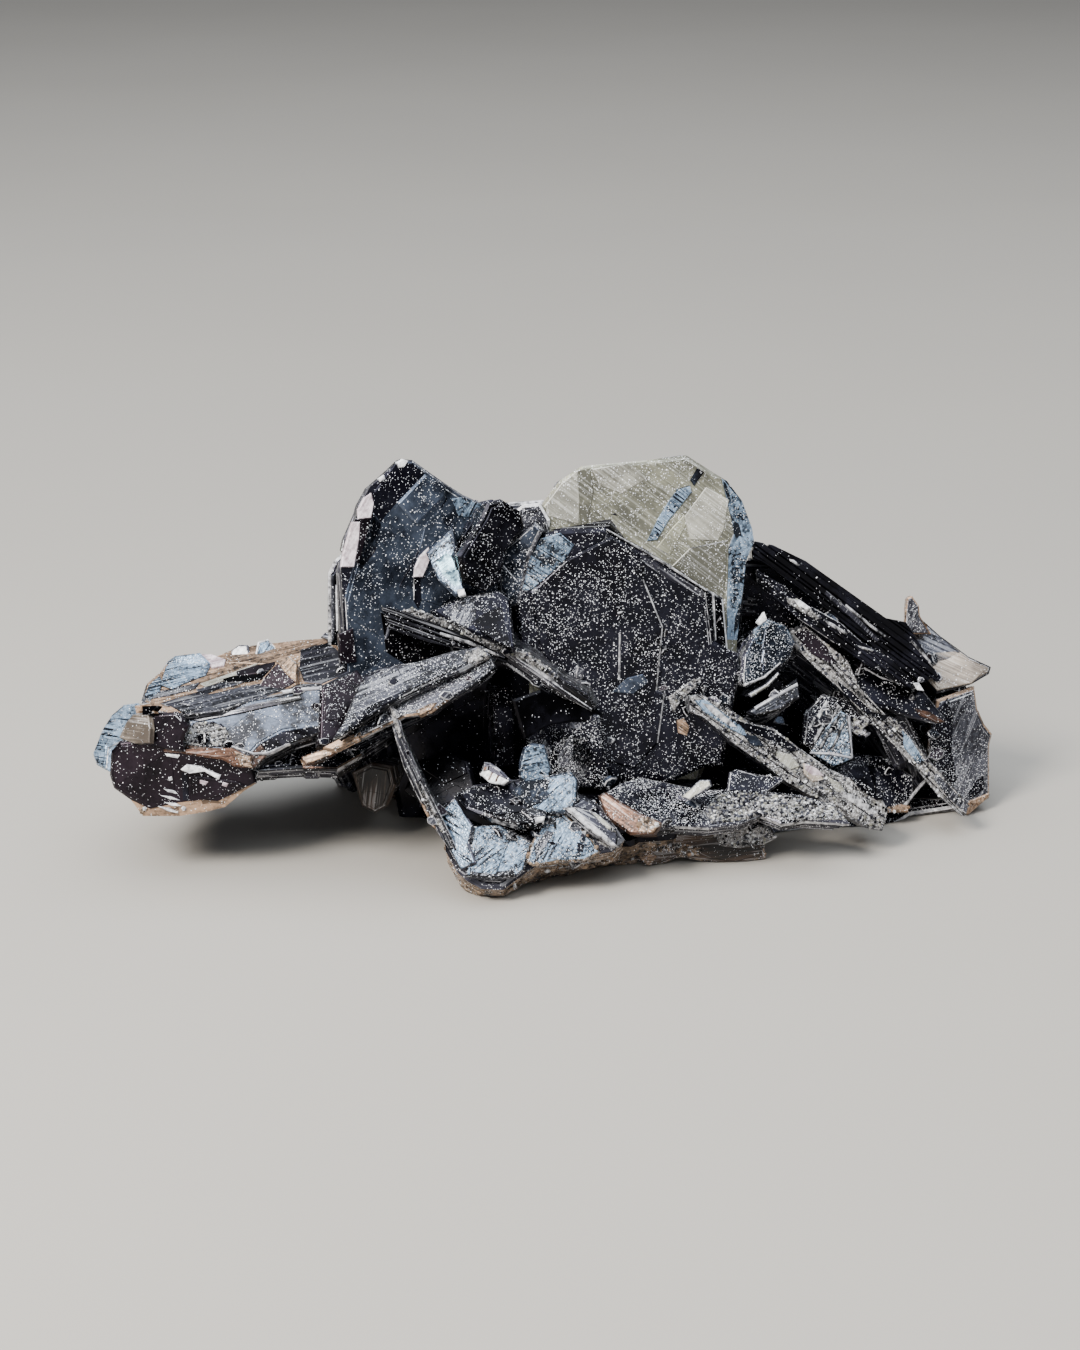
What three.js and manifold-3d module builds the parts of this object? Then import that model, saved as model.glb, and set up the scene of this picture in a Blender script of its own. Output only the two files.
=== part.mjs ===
// Hematite specimen: tabular crystals that grew through one another, on a broken flat base.
// Millimetres, +Z up, the viewer on the -Y side, the origin under the middle of the bounding box.
import * as THREE from "three";
import { mergeVertices } from "three/addons/utils/BufferGeometryUtils.js";
import Module from "manifold-3d";

// Driving dimensions
const SPECIMEN_WIDTH = 140;
const DRAWN_WIDTH = 895; // the same width in units of the drawing, which is 1080 wide and 1350 tall
const DRAWING_CENTRE = [540, 675]; // the drawn point that the viewer looks straight at
const EYE_DISTANCE = 450;
const EYE_ELEVATION = 20; // degrees above the horizon
const LOOKED_AT_HEIGHT = 25.4; // height over the rest plane of the point looked at
const ORIGIN_SHIFT = [-2.4, -2.7]; // moves the cluster's middle over the origin

// How a crystal's edge is cut, where its entry says nothing else
const RIM = 0.8; // width of the bevel around a face
const RIM_RISE = 0.7; // height of the face over the widest outline
const LEDGE = 0.7; // how far one growth layer stands back from the next
const CORNER_REACH = 2.2; // longest mitre, in rim widths
const NEARLY_STRAIGHT = 0.12; // sine of a corner's turn under which it isn't mitred
const LEDGE_DROP = 0.3; // how steeply a growth layer steps back
const GROUND_BLOCK = 300; // side of the block that cuts the underside flat
const SAME_PLACE = 1e-4; // corners closer than this are one corner

// Look of the bare metal
const METAL_COLOUR = 0x26262b;
const METAL_ROUGHNESS = 0.3;
const METAL_SHARE = 0.85;

const UNIT = SPECIMEN_WIDTH / DRAWN_WIDTH;
const radians = THREE.MathUtils.degToRad;
const lookedAt = new THREE.Vector3(0, 0, LOOKED_AT_HEIGHT);
const toEye = facing(0, EYE_ELEVATION);
const eye = lookedAt.clone().addScaledVector(toEye, EYE_DISTANCE);
const pictureUp = facing(180, 90 - EYE_ELEVATION);

// Every crystal that shows from the front is drawn as the viewer sees its widest outline. Its plane
// goes through the drawn point "at", at the depth y given third, and faces the viewer turned to the
// right by "turn" degrees and tipped up by "tip" degrees. It is "thick" mm from face to face. Its bevels
// are "rim" mm wide, apart from an edge whose first point gives a width of its own as a third number.
// A "ledge" is where its side steps back, in mm behind the widest outline.

// The broad upright plates in the middle
const crownPlates = [
  {
    // broad hexagonal plate at the back, with a wide bevel down its right side
    drawn: [[537, 519], [541, 505], [559, 481], [582, 466], [647, 460], [686, 455], [714, 473], [727, 481],
      [742, 501, 2.6], [752, 528, 3], [754, 541, 3.4], [746, 562, 3], [737, 640], [735, 700], [690, 800],
      [590, 800], [530, 700], [524, 600]],
    at: [640, 600, 4], turn: 3, tip: 12, thick: 8, rim: 1.2, ledge: 4,
  },
  {
    // dark plate in front of it
    drawn: [[526, 556], [543, 535], [560, 530], [605, 528], [643, 548], [670, 565], [708, 590], [714, 641],
      [737, 655], [740, 669], [735, 693], [725, 745], [723, 766], [707, 766], [661, 786], [620, 792],
      [585, 740], [560, 690], [520, 650], [515, 600]],
    at: [640, 650, -2], turn: 2, tip: 12, thick: 7, rim: 1, ledge: 3,
  },
  {
    // growth layer on the left half of the dark plate
    drawn: [[530, 592], [565, 560], [612, 536], [638, 552], [645, 563], [644, 580], [663, 627], [657, 690],
      [665, 693], [658, 743], [635, 769], [600, 760], [575, 700], [540, 650]],
    at: [600, 650, -3.3], turn: 2, tip: 12, thick: 3, rim: 0.5,
  },
  {
    // narrow layer at the right of the dark plate
    drawn: [[700, 585], [723, 598], [728, 650], [740, 669], [735, 693], [725, 750], [690, 770], [690, 640]],
    at: [712, 650, -0.4], turn: 14, tip: 12, thick: 6,
  },
  {
    // slabs between the two broad plates
    drawn: [[505, 530], [517, 509], [524, 504], [540, 503], [550, 520], [545, 570], [512, 570]],
    at: [530, 520, 6], turn: -8, tip: 8, thick: 6,
  },
  {
    // leaves that turn away to the left of them
    drawn: [[500, 552], [517, 538], [535, 522], [543, 530], [530, 556], [519, 605], [500, 610]],
    at: [520, 560, 0], turn: -24, tip: 12, thick: 6,
  },
  {
    // dark blade seen on its edge, across the front
    drawn: [[489, 640], [514, 648], [529, 655], [550, 670], [587, 694], [597, 714], [573, 701], [552, 698],
      [526, 679], [500, 662]],
    at: [550, 684, -8.5], turn: -8, tip: 4, thick: 9, rim: 0.4,
  },
  {
    // slabs that lead from the blade up to the left plate
    drawn: [[381, 606], [403, 611], [434, 619], [472, 633], [512, 652], [506, 664], [481, 652], [430, 643],
      [389, 629]],
    at: [450, 633, -8], turn: 6, tip: 16, thick: 9, rim: 0.6,
  },
  {
    // speckled ledge above those slabs
    drawn: [[463, 597], [498, 590], [510, 600], [516, 652], [471, 633], [450, 624], [430, 611]],
    at: [470, 612, -6], turn: 10, tip: 42, thick: 6, rim: 0.7,
  },
];

// The tall plate at the left, with its own leaves and facets
const tallPlates = [
  {
    // the plate itself
    drawn: [[357, 515, 1.6], [359, 507, 2], [370, 487], [382, 476], [400, 459], [412, 460], [443, 482],
      [463, 495], [481, 503], [500, 499], [521, 512], [524, 528], [507, 552], [502, 580], [508, 605],
      [520, 650], [480, 670], [430, 700], [345, 700], [344, 632], [341, 568, 2], [348, 537, 2]],
    at: [430, 570, -1], turn: 20, tip: 14, thick: 6, rim: 0.8, ledge: 3,
  },
  {
    // leaves behind, which show past the left edge
    drawn: [[328, 650], [328, 573], [334, 561], [345, 550], [351, 527], [357, 515], [380, 500], [430, 540],
      [430, 700], [335, 700]],
    at: [345, 600, 1.5], turn: 20, tip: 14, thick: 4.5,
  },
  {
    // narrow leaf in front of them
    drawn: [[340, 575], [352, 560], [380, 560], [385, 690], [342, 695]],
    at: [345, 600, -4.6], turn: 24, tip: 14, thick: 4, rim: 0.5,
  },
  {
    // striated block at the upper right
    drawn: [[481, 517], [487, 503], [502, 500], [521, 512], [524, 528], [506, 552], [500, 582], [485, 592],
      [462, 582], [457, 556]],
    at: [492, 545, -2.4], turn: 34, tip: 10, thick: 6, rim: 0.8,
  },
  {
    // sloping facet that catches the light
    drawn: [[454, 523], [459, 556], [465, 592], [455, 597], [438, 580], [426, 553]],
    at: [448, 560, -3], turn: -6, tip: 32, thick: 5, rim: 0.5,
  },
  {
    // raised parallelogram near the top
    drawn: [[397, 503], [425, 474], [446, 487], [445, 497], [418, 524], [412, 520]],
    at: [420, 500, 0.2], turn: 16, tip: 16, thick: 4, rim: 0.5,
  },
  {
    // growth layer over the lower left of the face
    drawn: [[362, 545], [395, 515], [414, 560], [416, 610], [395, 612], [385, 660], [352, 660], [352, 585]],
    at: [385, 580, -3.4], turn: 20, tip: 14, thick: 3, rim: 0.5,
  },
];

// The books of lying plates at the left
const leftWing = [
  {
    // lower block with a steep dark front and a bevel under it
    drawn: [[111, 752], [120, 741], [151, 737], [183, 750], [252, 758], [257, 783], [244, 791, 2],
      [225, 807, 2], [205, 812, 2.2], [180, 816, 2.2], [143, 816, 1.8], [131, 800], [114, 788], [110, 776]],
    at: [160, 790, -20], turn: -4, tip: 6, thick: 22, rim: 0.7, backRim: 2.5, ledge: 9,
  },
  {
    // pale end facet
    drawn: [[93, 754], [103, 729], [112, 715], [124, 705], [138, 703], [152, 716], [150, 738], [128, 742],
      [112, 750], [110, 772], [97, 765]],
    at: [118, 738, -17], turn: -40, tip: 26, thick: 10, rim: 0.8,
  },
  {
    // thin slab that carries on to the right
    drawn: [[185, 758], [253, 771], [303, 768], [337, 769], [362, 755], [400, 730], [400, 690], [260, 700],
      [190, 730]],
    at: [280, 762, -17], turn: 0, tip: 74, thick: 2.6, rim: 0.5,
  },
  {
    // dark upper block
    drawn: [[153, 713], [177, 712], [184, 719], [189, 726], [183, 741], [184, 752], [151, 748], [147, 736]],
    at: [168, 730, -19.5], turn: -8, tip: 12, thick: 15, rim: 0.8,
  },
  {
    // long grey face that looks up and forward
    drawn: [[180, 716], [220, 711], [250, 701], [322, 687], [324, 729], [310, 736, 1.8], [288, 743, 1.8],
      [268, 754, 1.8], [253, 769, 1.8], [228, 763, 1.8], [182, 756], [184, 735]],
    at: [250, 735, -18], turn: -8, tip: 42, thick: 10, rim: 0.7, ledge: 4,
  },
  {
    // striated top
    drawn: [[141, 702], [146, 685], [161, 672], [167, 663], [185, 655], [217, 657], [239, 648], [300, 641],
      [328, 639], [350, 655], [357, 672], [322, 689], [250, 703], [220, 713], [180, 717], [155, 714]],
    at: [200, 700, -12], turn: -28, tip: 76, thick: 7, rim: 0.8, ledge: 3,
  },
  {
    // largest of the small crystals along the back edge
    drawn: [[156, 681], [167, 662], [175, 656], [200, 653], [211, 664], [190, 684]],
    at: [185, 670, -3], turn: -26, tip: 46, thick: 5, rim: 0.6,
  },
  {
    // middle one of them
    drawn: [[229, 661], [232, 650], [239, 645], [248, 645], [252, 662]],
    at: [240, 655, -1], turn: -10, tip: 40, thick: 4, rim: 0.5,
  },
  {
    // right one of them
    drawn: [[254, 660], [258, 642], [268, 639], [276, 648], [277, 660]],
    at: [266, 652, -1], turn: 15, tip: 40, thick: 4, rim: 0.5,
  },
  {
    // dark wedge that stands up in the notch
    drawn: [[258, 700], [264, 682], [277, 663], [289, 658], [298, 670], [300, 688]],
    at: [280, 680, -9.5], turn: -25, tip: 40, thick: 5, rim: 0.5,
  },
  {
    // dark facet where the wing meets the tall plate
    drawn: [[320, 688], [357, 670], [372, 690], [350, 728], [338, 742], [318, 744]],
    at: [340, 705, -16.5], turn: 24, tip: 40, thick: 9, rim: 0.7,
  },
  {
    // the wing's right blade, upper leaf
    drawn: [[332, 740], [343, 723], [358, 687], [366, 678], [395, 665], [417, 662], [450, 652], [484, 646],
      [491, 656], [460, 673], [420, 691], [388, 706], [345, 734]],
    at: [420, 677, -19], turn: -18, tip: 56, thick: 2.4, rim: 0.6,
  },
  {
    // lower leaf of that blade
    drawn: [[338, 742], [388, 706], [420, 690], [450, 675], [491, 655], [497, 668], [480, 683], [450, 700],
      [432, 713], [405, 717], [362, 738], [336, 752]],
    at: [430, 695, -20], turn: -18, tip: 50, thick: 2.6, rim: 0.6,
  },
  {
    // root of that blade, back into the cluster
    drawn: [[330, 690], [380, 668], [440, 658], [478, 654], [455, 678], [400, 705], [350, 738], [325, 745]],
    at: [390, 690, -12], turn: -6, tip: 40, thick: 12, rim: 1,
  },
  {
    // brown fibrous crystal under the wing
    drawn: [[352, 772], [372, 762], [392, 766], [396, 784], [388, 806], [375, 813], [362, 806]],
    at: [378, 788, -8], turn: -12, tip: 10, thick: 12, rim: 0.7,
  },
];

// The foot at the front, with the thin blade that leans on it
const frontFoot = [
  {
    // thin blade seen on its edge
    drawn: [[388, 703], [398, 711], [405, 738], [420, 773], [446, 825], [460, 854], [464, 870], [437, 832],
      [417, 796], [403, 766], [391, 722]],
    at: [420, 785, -25], turn: 2, tip: 18, thick: 12, rim: 0.4, backRim: 0.3,
  },
  {
    // body of the foot
    drawn: [[441, 812], [446, 852], [457, 872], [467, 881], [481, 889], [503, 890], [526, 873], [541, 863],
      [578, 858], [612, 852], [625, 840], [600, 805], [545, 775], [474, 785]],
    at: [500, 870, -28], turn: 2, tip: 46, thick: 12, rim: 1.4, ledge: 5,
  },
  {
    // striated left facet
    drawn: [[441, 811], [456, 798], [473, 826], [469, 843], [476, 863], [461, 871], [448, 846]],
    at: [458, 835, -26.5], turn: -34, tip: 34, thick: 6, rim: 0.5,
  },
  {
    // broad front facet
    drawn: [[474, 826], [500, 824], [532, 842], [527, 857], [524, 871], [517, 877], [490, 880], [465, 876]],
    at: [500, 852, -28], turn: 8, tip: 40, thick: 5, rim: 0.6,
  },
  {
    // dark speckled plate lying over the foot
    drawn: [[454, 796], [467, 786], [491, 789], [514, 782], [524, 800], [548, 818], [538, 825], [491, 818],
      [463, 808]],
    at: [500, 805, -21], turn: 4, tip: 66, thick: 3, rim: 0.5,
  },
  {
    // small striped crystal
    drawn: [[479, 775], [486, 762], [497, 765], [511, 779], [508, 792], [484, 792]],
    at: [494, 775, -17], turn: -20, tip: 30, thick: 5, rim: 0.5,
  },
  {
    // bluish crystal in the hollow
    drawn: [[519, 778], [519, 762], [523, 748], [532, 743], [545, 745], [552, 770], [548, 784], [530, 788]],
    at: [535, 764, -15], turn: 8, tip: 22, thick: 6, rim: 0.7,
  },
  {
    // striated facet at its foot
    drawn: [[524, 806], [550, 772], [570, 769], [578, 780], [579, 796], [572, 812], [550, 816]],
    at: [556, 790, -17.5], turn: 6, tip: 38, thick: 6, rim: 0.6,
  },
  {
    // pale blade across the foot
    drawn: [[562, 808], [574, 806], [602, 812], [620, 838], [617, 850], [590, 832]],
    at: [592, 824, -22.5], turn: 12, tip: 40, thick: 6, rim: 0.4,
  },
  {
    // pale lower face
    drawn: [[546, 816], [563, 813], [586, 833], [601, 852], [584, 861], [560, 862], [533, 866], [526, 862],
      [531, 844]],
    at: [560, 840, -25], turn: 6, tip: 36, thick: 6, rim: 0.6,
  },
];

// The hollow behind the foot
const hollow = [
  {
    // its back wall
    drawn: [[395, 640], [600, 640], [620, 800], [560, 830], [400, 820], [385, 740]],
    at: [500, 730, 4], turn: 0, tip: 2, thick: 10, rim: 1.5,
  },
  {
    // dark column
    drawn: [[493, 690], [513, 688], [516, 765], [495, 770]],
    at: [504, 730, -3], turn: 18, tip: 6, thick: 9, rim: 0.6,
  },
  {
    // speckled plate at its right
    drawn: [[524, 712], [560, 700], [600, 716], [610, 790], [560, 785], [528, 755]],
    at: [560, 740, -8], turn: -8, tip: 12, thick: 7, rim: 0.8,
  },
  {
    // low rounded face at its left
    drawn: [[404, 790], [418, 764], [448, 752], [470, 760], [480, 800], [440, 812]],
    at: [440, 780, -12], turn: -8, tip: 40, thick: 8, rim: 1,
  },
];

// The slabs that lie along the base at the right of the foot
const baseSlabs = [
  {
    // warm-coloured end facet
    drawn: [[598, 797], [606, 792], [626, 806], [650, 817], [658, 825], [646, 834], [624, 834], [606, 822]],
    at: [625, 815, -22], turn: -14, tip: 34, thick: 8, rim: 0.6,
  },
  {
    // upper slab
    drawn: [[604, 794], [620, 784], [640, 778], [700, 790], [740, 790], [800, 795], [835, 806], [850, 824],
      [805, 821], [781, 824], [761, 816], [741, 824], [709, 828], [675, 826], [654, 830]],
    at: [700, 810, -16.5], turn: 8, tip: 72, thick: 2.6, rim: 0.6,
  },
  {
    // lower slab, broken along its front
    drawn: [[560, 850], [610, 826], [650, 826], [730, 824], [772, 832], [764, 846], [766, 858], [735, 866],
      [701, 861], [680, 857], [652, 868], [632, 858], [590, 866]],
    at: [700, 859, -14.5], turn: 6, tip: 14, thick: 12, rim: 0.8,
  },
  {
    // dark crystal on the slab
    drawn: [[726, 794], [729, 772], [738, 769], [755, 774], [789, 777], [762, 797]],
    at: [750, 783, -11], turn: 4, tip: 40, thick: 5, rim: 0.5,
  },
  {
    // right end of the base
    drawn: [[755, 800], [830, 790], [905, 798], [952, 800], [956, 808], [910, 815], [884, 832], [850, 832],
      [805, 830], [768, 838]],
    at: [840, 825, 0], turn: 12, tip: 60, thick: 9, rim: 0.8,
  },
];

// The blades that fan out to the right
const rightBlades = [
  {
    // pale speckled blade across the front
    drawn: [[689, 696], [702, 694], [732, 711], [752, 723], [774, 728], [801, 749], [829, 769], [861, 783],
      [882, 799], [888, 811], [882, 831], [866, 828], [819, 802], [789, 784], [760, 762], [730, 741],
      [702, 717], [690, 712]],
    at: [790, 762, -9.5], turn: 8, tip: 20, thick: 6, rim: 0.5,
  },
  {
    // upper dark blade
    drawn: [[750, 540], [773, 545], [806, 561], [851, 593], [886, 618], [906, 622], [927, 655], [942, 681],
      [922, 683], [890, 661], [830, 613], [770, 566], [752, 558]],
    at: [830, 600, 6], turn: -2, tip: 18, thick: 12, rim: 0.6,
  },
  {
    // second dark blade
    drawn: [[756, 569], [784, 586], [803, 602], [841, 623], [861, 641], [893, 660], [924, 692], [900, 686],
      [861, 661], [834, 643], [797, 618], [758, 584]],
    at: [830, 625, 2.5], turn: -2, tip: 16, thick: 12, rim: 0.4,
  },
  {
    // long steep blade down to the base
    drawn: [[790, 630], [806, 626], [848, 660], [869, 706], [897, 720], [934, 765], [970, 806], [969, 815],
      [961, 816], [938, 796], [899, 748], [861, 707], [820, 673], [790, 643]],
    at: [880, 725, 0], turn: -2, tip: 16, thick: 7, rim: 0.4,
  },
  {
    // dark plate with a pale upper edge
    drawn: [[850, 672], [874, 664], [903, 682], [924, 692], [948, 722], [935, 724], [905, 716], [868, 706]],
    at: [895, 692, 3], turn: 10, tip: 30, thick: 7, rim: 0.5,
  },
  {
    // pointed crystal at the top right
    drawn: [[904, 634], [905, 612], [907, 598], [912, 596], [919, 606], [920, 616], [931, 634]],
    at: [914, 616, 11], turn: 8, tip: 8, thick: 3.5, rim: 0.5,
  },
  {
    // warm-coloured plate at the right end
    drawn: [[905, 622], [919, 617], [939, 635], [969, 657], [991, 667], [989, 674], [972, 684], [936, 694],
      [915, 670]],
    at: [955, 665, 11], turn: 12, tip: 36, thick: 5, rim: 0.8,
  },
  {
    // grey plate that closes the right end
    drawn: [[936, 700], [974, 686], [977, 708], [984, 724], [992, 734], [989, 745], [989, 798], [978, 804],
      [967, 813], [940, 790], [930, 750]],
    at: [970, 760, 7], turn: 24, tip: 12, thick: 6, rim: 1,
  },
  {
    // dark mass that the blades grow from
    drawn: [[738, 560], [775, 562], [850, 610], [925, 672], [972, 690], [982, 740], [982, 795], [940, 806],
      [860, 812], [760, 800], [730, 700]],
    at: [860, 700, 13], turn: 8, tip: 10, thick: 12, rim: 2,
  },
  {
    // small wedge between the long blade and the front blade
    drawn: [[816, 759], [826, 735], [840, 711], [846, 735], [852, 760], [835, 775]],
    at: [836, 742, -1], turn: -10, tip: 24, thick: 8, rim: 0.6,
  },
  {
    // plates behind the end of the front blade
    drawn: [[820, 766], [848, 752], [880, 756], [914, 777], [912, 800], [886, 813], [850, 800]],
    at: [875, 785, 2], turn: 16, tip: 34, thick: 8, rim: 0.7,
  },
  {
    // bluish crystal in the gap behind the dark plate
    drawn: [[742, 676], [744, 655], [752, 638], [768, 618], [788, 626], [795, 640], [786, 657], [752, 680]],
    at: [768, 650, 0], turn: 22, tip: 24, thick: 14, rim: 0.8,
  },
  {
    // upper one of the light slabs below it
    drawn: [[744, 696], [777, 669], [780, 675], [762, 691], [752, 700]],
    at: [762, 684, -2.5], turn: 12, tip: 22, thick: 18, rim: 0.3, backRim: 0.4,
  },
  {
    // lower one of them
    drawn: [[746, 712], [768, 698], [797, 678], [800, 698], [780, 710], [756, 716]],
    at: [774, 700, -2.5], turn: 12, tip: 34, thick: 20, rim: 0.4, backRim: 0.4,
  },
];

// Crystals out of the viewer's sight: the middle, the two facing angles and the three sizes
const hiddenCrystals = [
  { middle: [4, 17, 30], turn: 176, tip: 14, wide: 46, tall: 44, thick: 8 },
  { middle: [-17, 15, 30], turn: 205, tip: 10, wide: 34, tall: 40, thick: 7 },
  { middle: [20, 24, 20], turn: 160, tip: 28, wide: 36, tall: 30, thick: 7 },
  { middle: [-8, 27, 15], turn: 192, tip: 38, wide: 40, tall: 26, thick: 7 },
  { middle: [42, 22, 15], turn: 140, tip: 32, wide: 34, tall: 26, thick: 6 },
  { middle: [-34, 10, 18], turn: 214, tip: 50, wide: 34, tall: 24, thick: 7 },
  { middle: [-54, 2, 17], turn: 236, tip: 62, wide: 24, tall: 18, thick: 6 },
  { middle: [56, 14, 13], turn: 112, tip: 26, wide: 24, tall: 24, thick: 5 },
  { middle: [30, 20, 31], turn: 168, tip: 66, wide: 26, tall: 14, thick: 4 },
  { middle: [2, 31, 7], turn: 178, tip: 12, wide: 30, tall: 18, thick: 5 },
  { middle: [-26, 22, 7], turn: 220, tip: 8, wide: 24, tall: 22, thick: 6 },
  { middle: [34, 28, 7], turn: 150, tip: 6, wide: 26, tall: 20, thick: 5 },
];

// Their outline, in shares of the width and height
const hiddenCorners = [[-0.5, -0.1], [-0.34, -0.42], [-0.1, -0.5], [0.3, -0.46], [0.5, -0.08],
  [0.42, 0.24], [0.22, 0.46], [-0.18, 0.5], [-0.42, 0.22]];

// The broken base, in plan
const BASE_HEIGHT = 9;
const BASE_SLOPE = 2.5; // how far the base draws in towards its underside
const baseOutline = [[-30, 15], [-19, 9], [-13, -2], [-11, -22], [-2, -26], [10, -20], [30, -12], [36, -2],
  [54, 0], [62, 9], [60, 18], [40, 27], [14, 32], [-12, 30], [-28, 24]];

// Unit vector of a face turned to the right of the viewer and tipped up
function facing(turn, tip) {
  const level = Math.cos(radians(tip));
  const towardsViewer = Math.cos(radians(turn)) * level;
  return new THREE.Vector3(Math.sin(radians(turn)) * level, -towardsViewer, Math.sin(radians(tip)));
}

// Point where the sight line through a drawn point meets a plane
function sighted([drawnX, drawnY], plane) {
  const mark = lookedAt.clone();
  mark.x += (drawnX - DRAWING_CENTRE[0]) * UNIT;
  mark.addScaledVector(pictureUp, (DRAWING_CENTRE[1] - drawnY) * UNIT);
  const along = mark.sub(eye).normalize();
  const reach = -plane.distanceToPoint(eye) / plane.normal.dot(along);
  return eye.clone().addScaledVector(along, reach);
}

// Axes of a crystal's plane: across and up within it, and out of its face
function axesOf(turn, tip) {
  const out = facing(turn, tip);
  const across = new THREE.Vector3(Math.cos(radians(turn)), Math.sin(radians(turn)), 0);
  return { across, up: out.clone().cross(across), out };
}

// Outline moved in by a width for each edge, its corners mitred so that every bevel stays flat
function inset(outline, widths) {
  const count = outline.length;
  const inward = outline.map((point, i) => {
    const edge = outline[(i + 1) % count].clone().sub(point).normalize();
    return new THREE.Vector2(-edge.y, edge.x);
  });
  return outline.map((point, i) => {
    const before = (i + count - 1) % count;
    const [m, n] = [inward[before], inward[i]];
    const [a, b] = [widths[before], widths[i]];
    const turning = m.cross(n);
    const move = m.clone().add(n).multiplyScalar((a + b) / 4);
    if (Math.abs(turning) > NEARLY_STRAIGHT)
      move.set((a * n.y - b * m.y) / turning, (b * m.x - a * n.x) / turning);
    return move.clampLength(0, CORNER_REACH * Math.max(a, b)).add(point);
  });
}

// One width for every edge of an outline
function sameWidth(outline, width) {
  return outline.map(() => width);
}

// Closed geometry through rings that copy one outline, from the face in front to the face behind
function ringSolid(outline, rings, lift) {
  const count = outline.length;
  const position = rings.flatMap(({ ring, depth }) =>
    ring.flatMap((point) => lift(point, depth).toArray()));
  const index = [];
  const last = (rings.length - 1) * count;
  for (const [a, b, c] of THREE.ShapeUtils.triangulateShape([...outline], [])) {
    index.push(a, b, c);
    index.push(last + a, last + c, last + b);
  }
  for (let ring = 0; ring < last; ring += count)
    for (let i = 0; i < count; i += 1) {
      const j = (i + 1) % count;
      index.push(ring + i, ring + count + i, ring + j, ring + j, ring + count + i, ring + count + j);
    }
  const geometry = new THREE.BufferGeometry();
  geometry.setAttribute("position", new THREE.Float32BufferAttribute(position, 3));
  geometry.setIndex(index);
  return geometry;
}

// A bevelled tablet: its widest outline lies on the plane, its face a little above it
function tablet(outline, bevels, lift, { thick, rim = RIM, backRim = 2 * rim, ledge = 0 }) {
  const face = { ring: inset(outline, bevels), depth: -Math.min(RIM_RISE, rim) };
  const rings = [face, { ring: outline, depth: 0 }];
  if (ledge > 0) {
    const waist = inset(outline, sameWidth(outline, Math.min(LEDGE, rim)));
    rings.push({ ring: outline, depth: ledge - LEDGE_DROP / 2 });
    rings.push({ ring: waist, depth: ledge + LEDGE_DROP / 2 });
  }
  rings.push({ ring: inset(outline, sameWidth(outline, backRim)), depth: thick });
  return ringSolid(outline, rings, lift);
}

// Crystal whose outline is drawn as the viewer sees it
function drawnCrystal(entry) {
  const { across, up, out } = axesOf(entry.turn, entry.tip);
  const [drawnX, drawnY, depth] = entry.at;
  const middle = sighted([drawnX, drawnY], new THREE.Plane(new THREE.Vector3(0, 1, 0), -depth));
  const plane = new THREE.Plane().setFromNormalAndCoplanarPoint(out, middle);
  const outline = entry.drawn.map((drawn) => {
    const point = sighted(drawn, plane).sub(middle);
    return new THREE.Vector2(point.dot(across), point.dot(up));
  });
  const bevels = entry.drawn.map((drawn) => drawn[2] ?? entry.rim ?? RIM);
  if (THREE.ShapeUtils.isClockWise(outline)) {
    outline.reverse();
    bevels.reverse();
    bevels.push(bevels.shift());
  }
  return tablet(outline, bevels, liftFrom(middle, across, up, out), entry);
}

// Hexagonal tablet with two cut corners, for the crystals that no drawing shows
function hiddenCrystal(entry) {
  const { across, up, out } = axesOf(entry.turn, entry.tip);
  const outline = hiddenCorners.map(([x, y]) => new THREE.Vector2(x * entry.wide, y * entry.tall));
  const lift = liftFrom(new THREE.Vector3(...entry.middle), across, up, out);
  return tablet(outline, sameWidth(outline, RIM), lift, { ...entry, ledge: entry.thick / 2 });
}

// Takes a point of a crystal's plane, and a depth behind it, to its place in space
function liftFrom(middle, across, up, out) {
  return (point, depth) => {
    const onPlane = middle.clone().addScaledVector(across, point.x).addScaledVector(up, point.y);
    return onPlane.addScaledVector(out, -depth);
  };
}

// Low block that the crystals stand on
function brokenBase() {
  const outline = baseOutline.map(([x, y]) => new THREE.Vector2(x, y));
  const drawnIn = inset(outline, sameWidth(outline, BASE_SLOPE));
  const rings = [
    { ring: drawnIn, depth: -BASE_HEIGHT },
    { ring: outline, depth: -BASE_HEIGHT / 2 },
    { ring: drawnIn, depth: 0 },
  ];
  return ringSolid(outline, rings, (point, depth) => new THREE.Vector3(point.x, point.y, -depth));
}

const wasm = await Module();
wasm.setup();

// Closed solid of a geometry
function solidOf(geometry) {
  const bare = geometry.clone();
  bare.deleteAttribute("normal");
  bare.deleteAttribute("uv");
  const merged = mergeVertices(bare, SAME_PLACE);
  const mesh = new wasm.Mesh({
    numProp: 3,
    vertProperties: new Float32Array(merged.attributes.position.array),
    triVerts: new Uint32Array(merged.index.array),
  });
  return new wasm.Manifold(mesh);
}

// Geometry of a closed solid
function geometryOf(solid) {
  const { vertProperties, triVerts } = solid.getMesh();
  const geometry = new THREE.BufferGeometry();
  geometry.setAttribute("position", new THREE.BufferAttribute(vertProperties, 3));
  geometry.setIndex(new THREE.BufferAttribute(triVerts, 1));
  geometry.computeVertexNormals();
  return geometry;
}

// All crystals joined in one solid, cut flat where it rests
function grownTogether() {
  const drawnParts = [crownPlates, tallPlates, leftWing, frontFoot, hollow, baseSlabs, rightBlades];
  const crystals = [...drawnParts.flat().map(drawnCrystal), ...hiddenCrystals.map(hiddenCrystal)];
  const ground = new THREE.BoxGeometry(GROUND_BLOCK, GROUND_BLOCK, GROUND_BLOCK);
  ground.translate(0, 0, -GROUND_BLOCK / 2);
  let cluster = solidOf(brokenBase());
  for (const crystal of crystals)
    cluster = cluster.add(solidOf(crystal));
  return geometryOf(cluster.subtract(solidOf(ground)));
}

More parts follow.
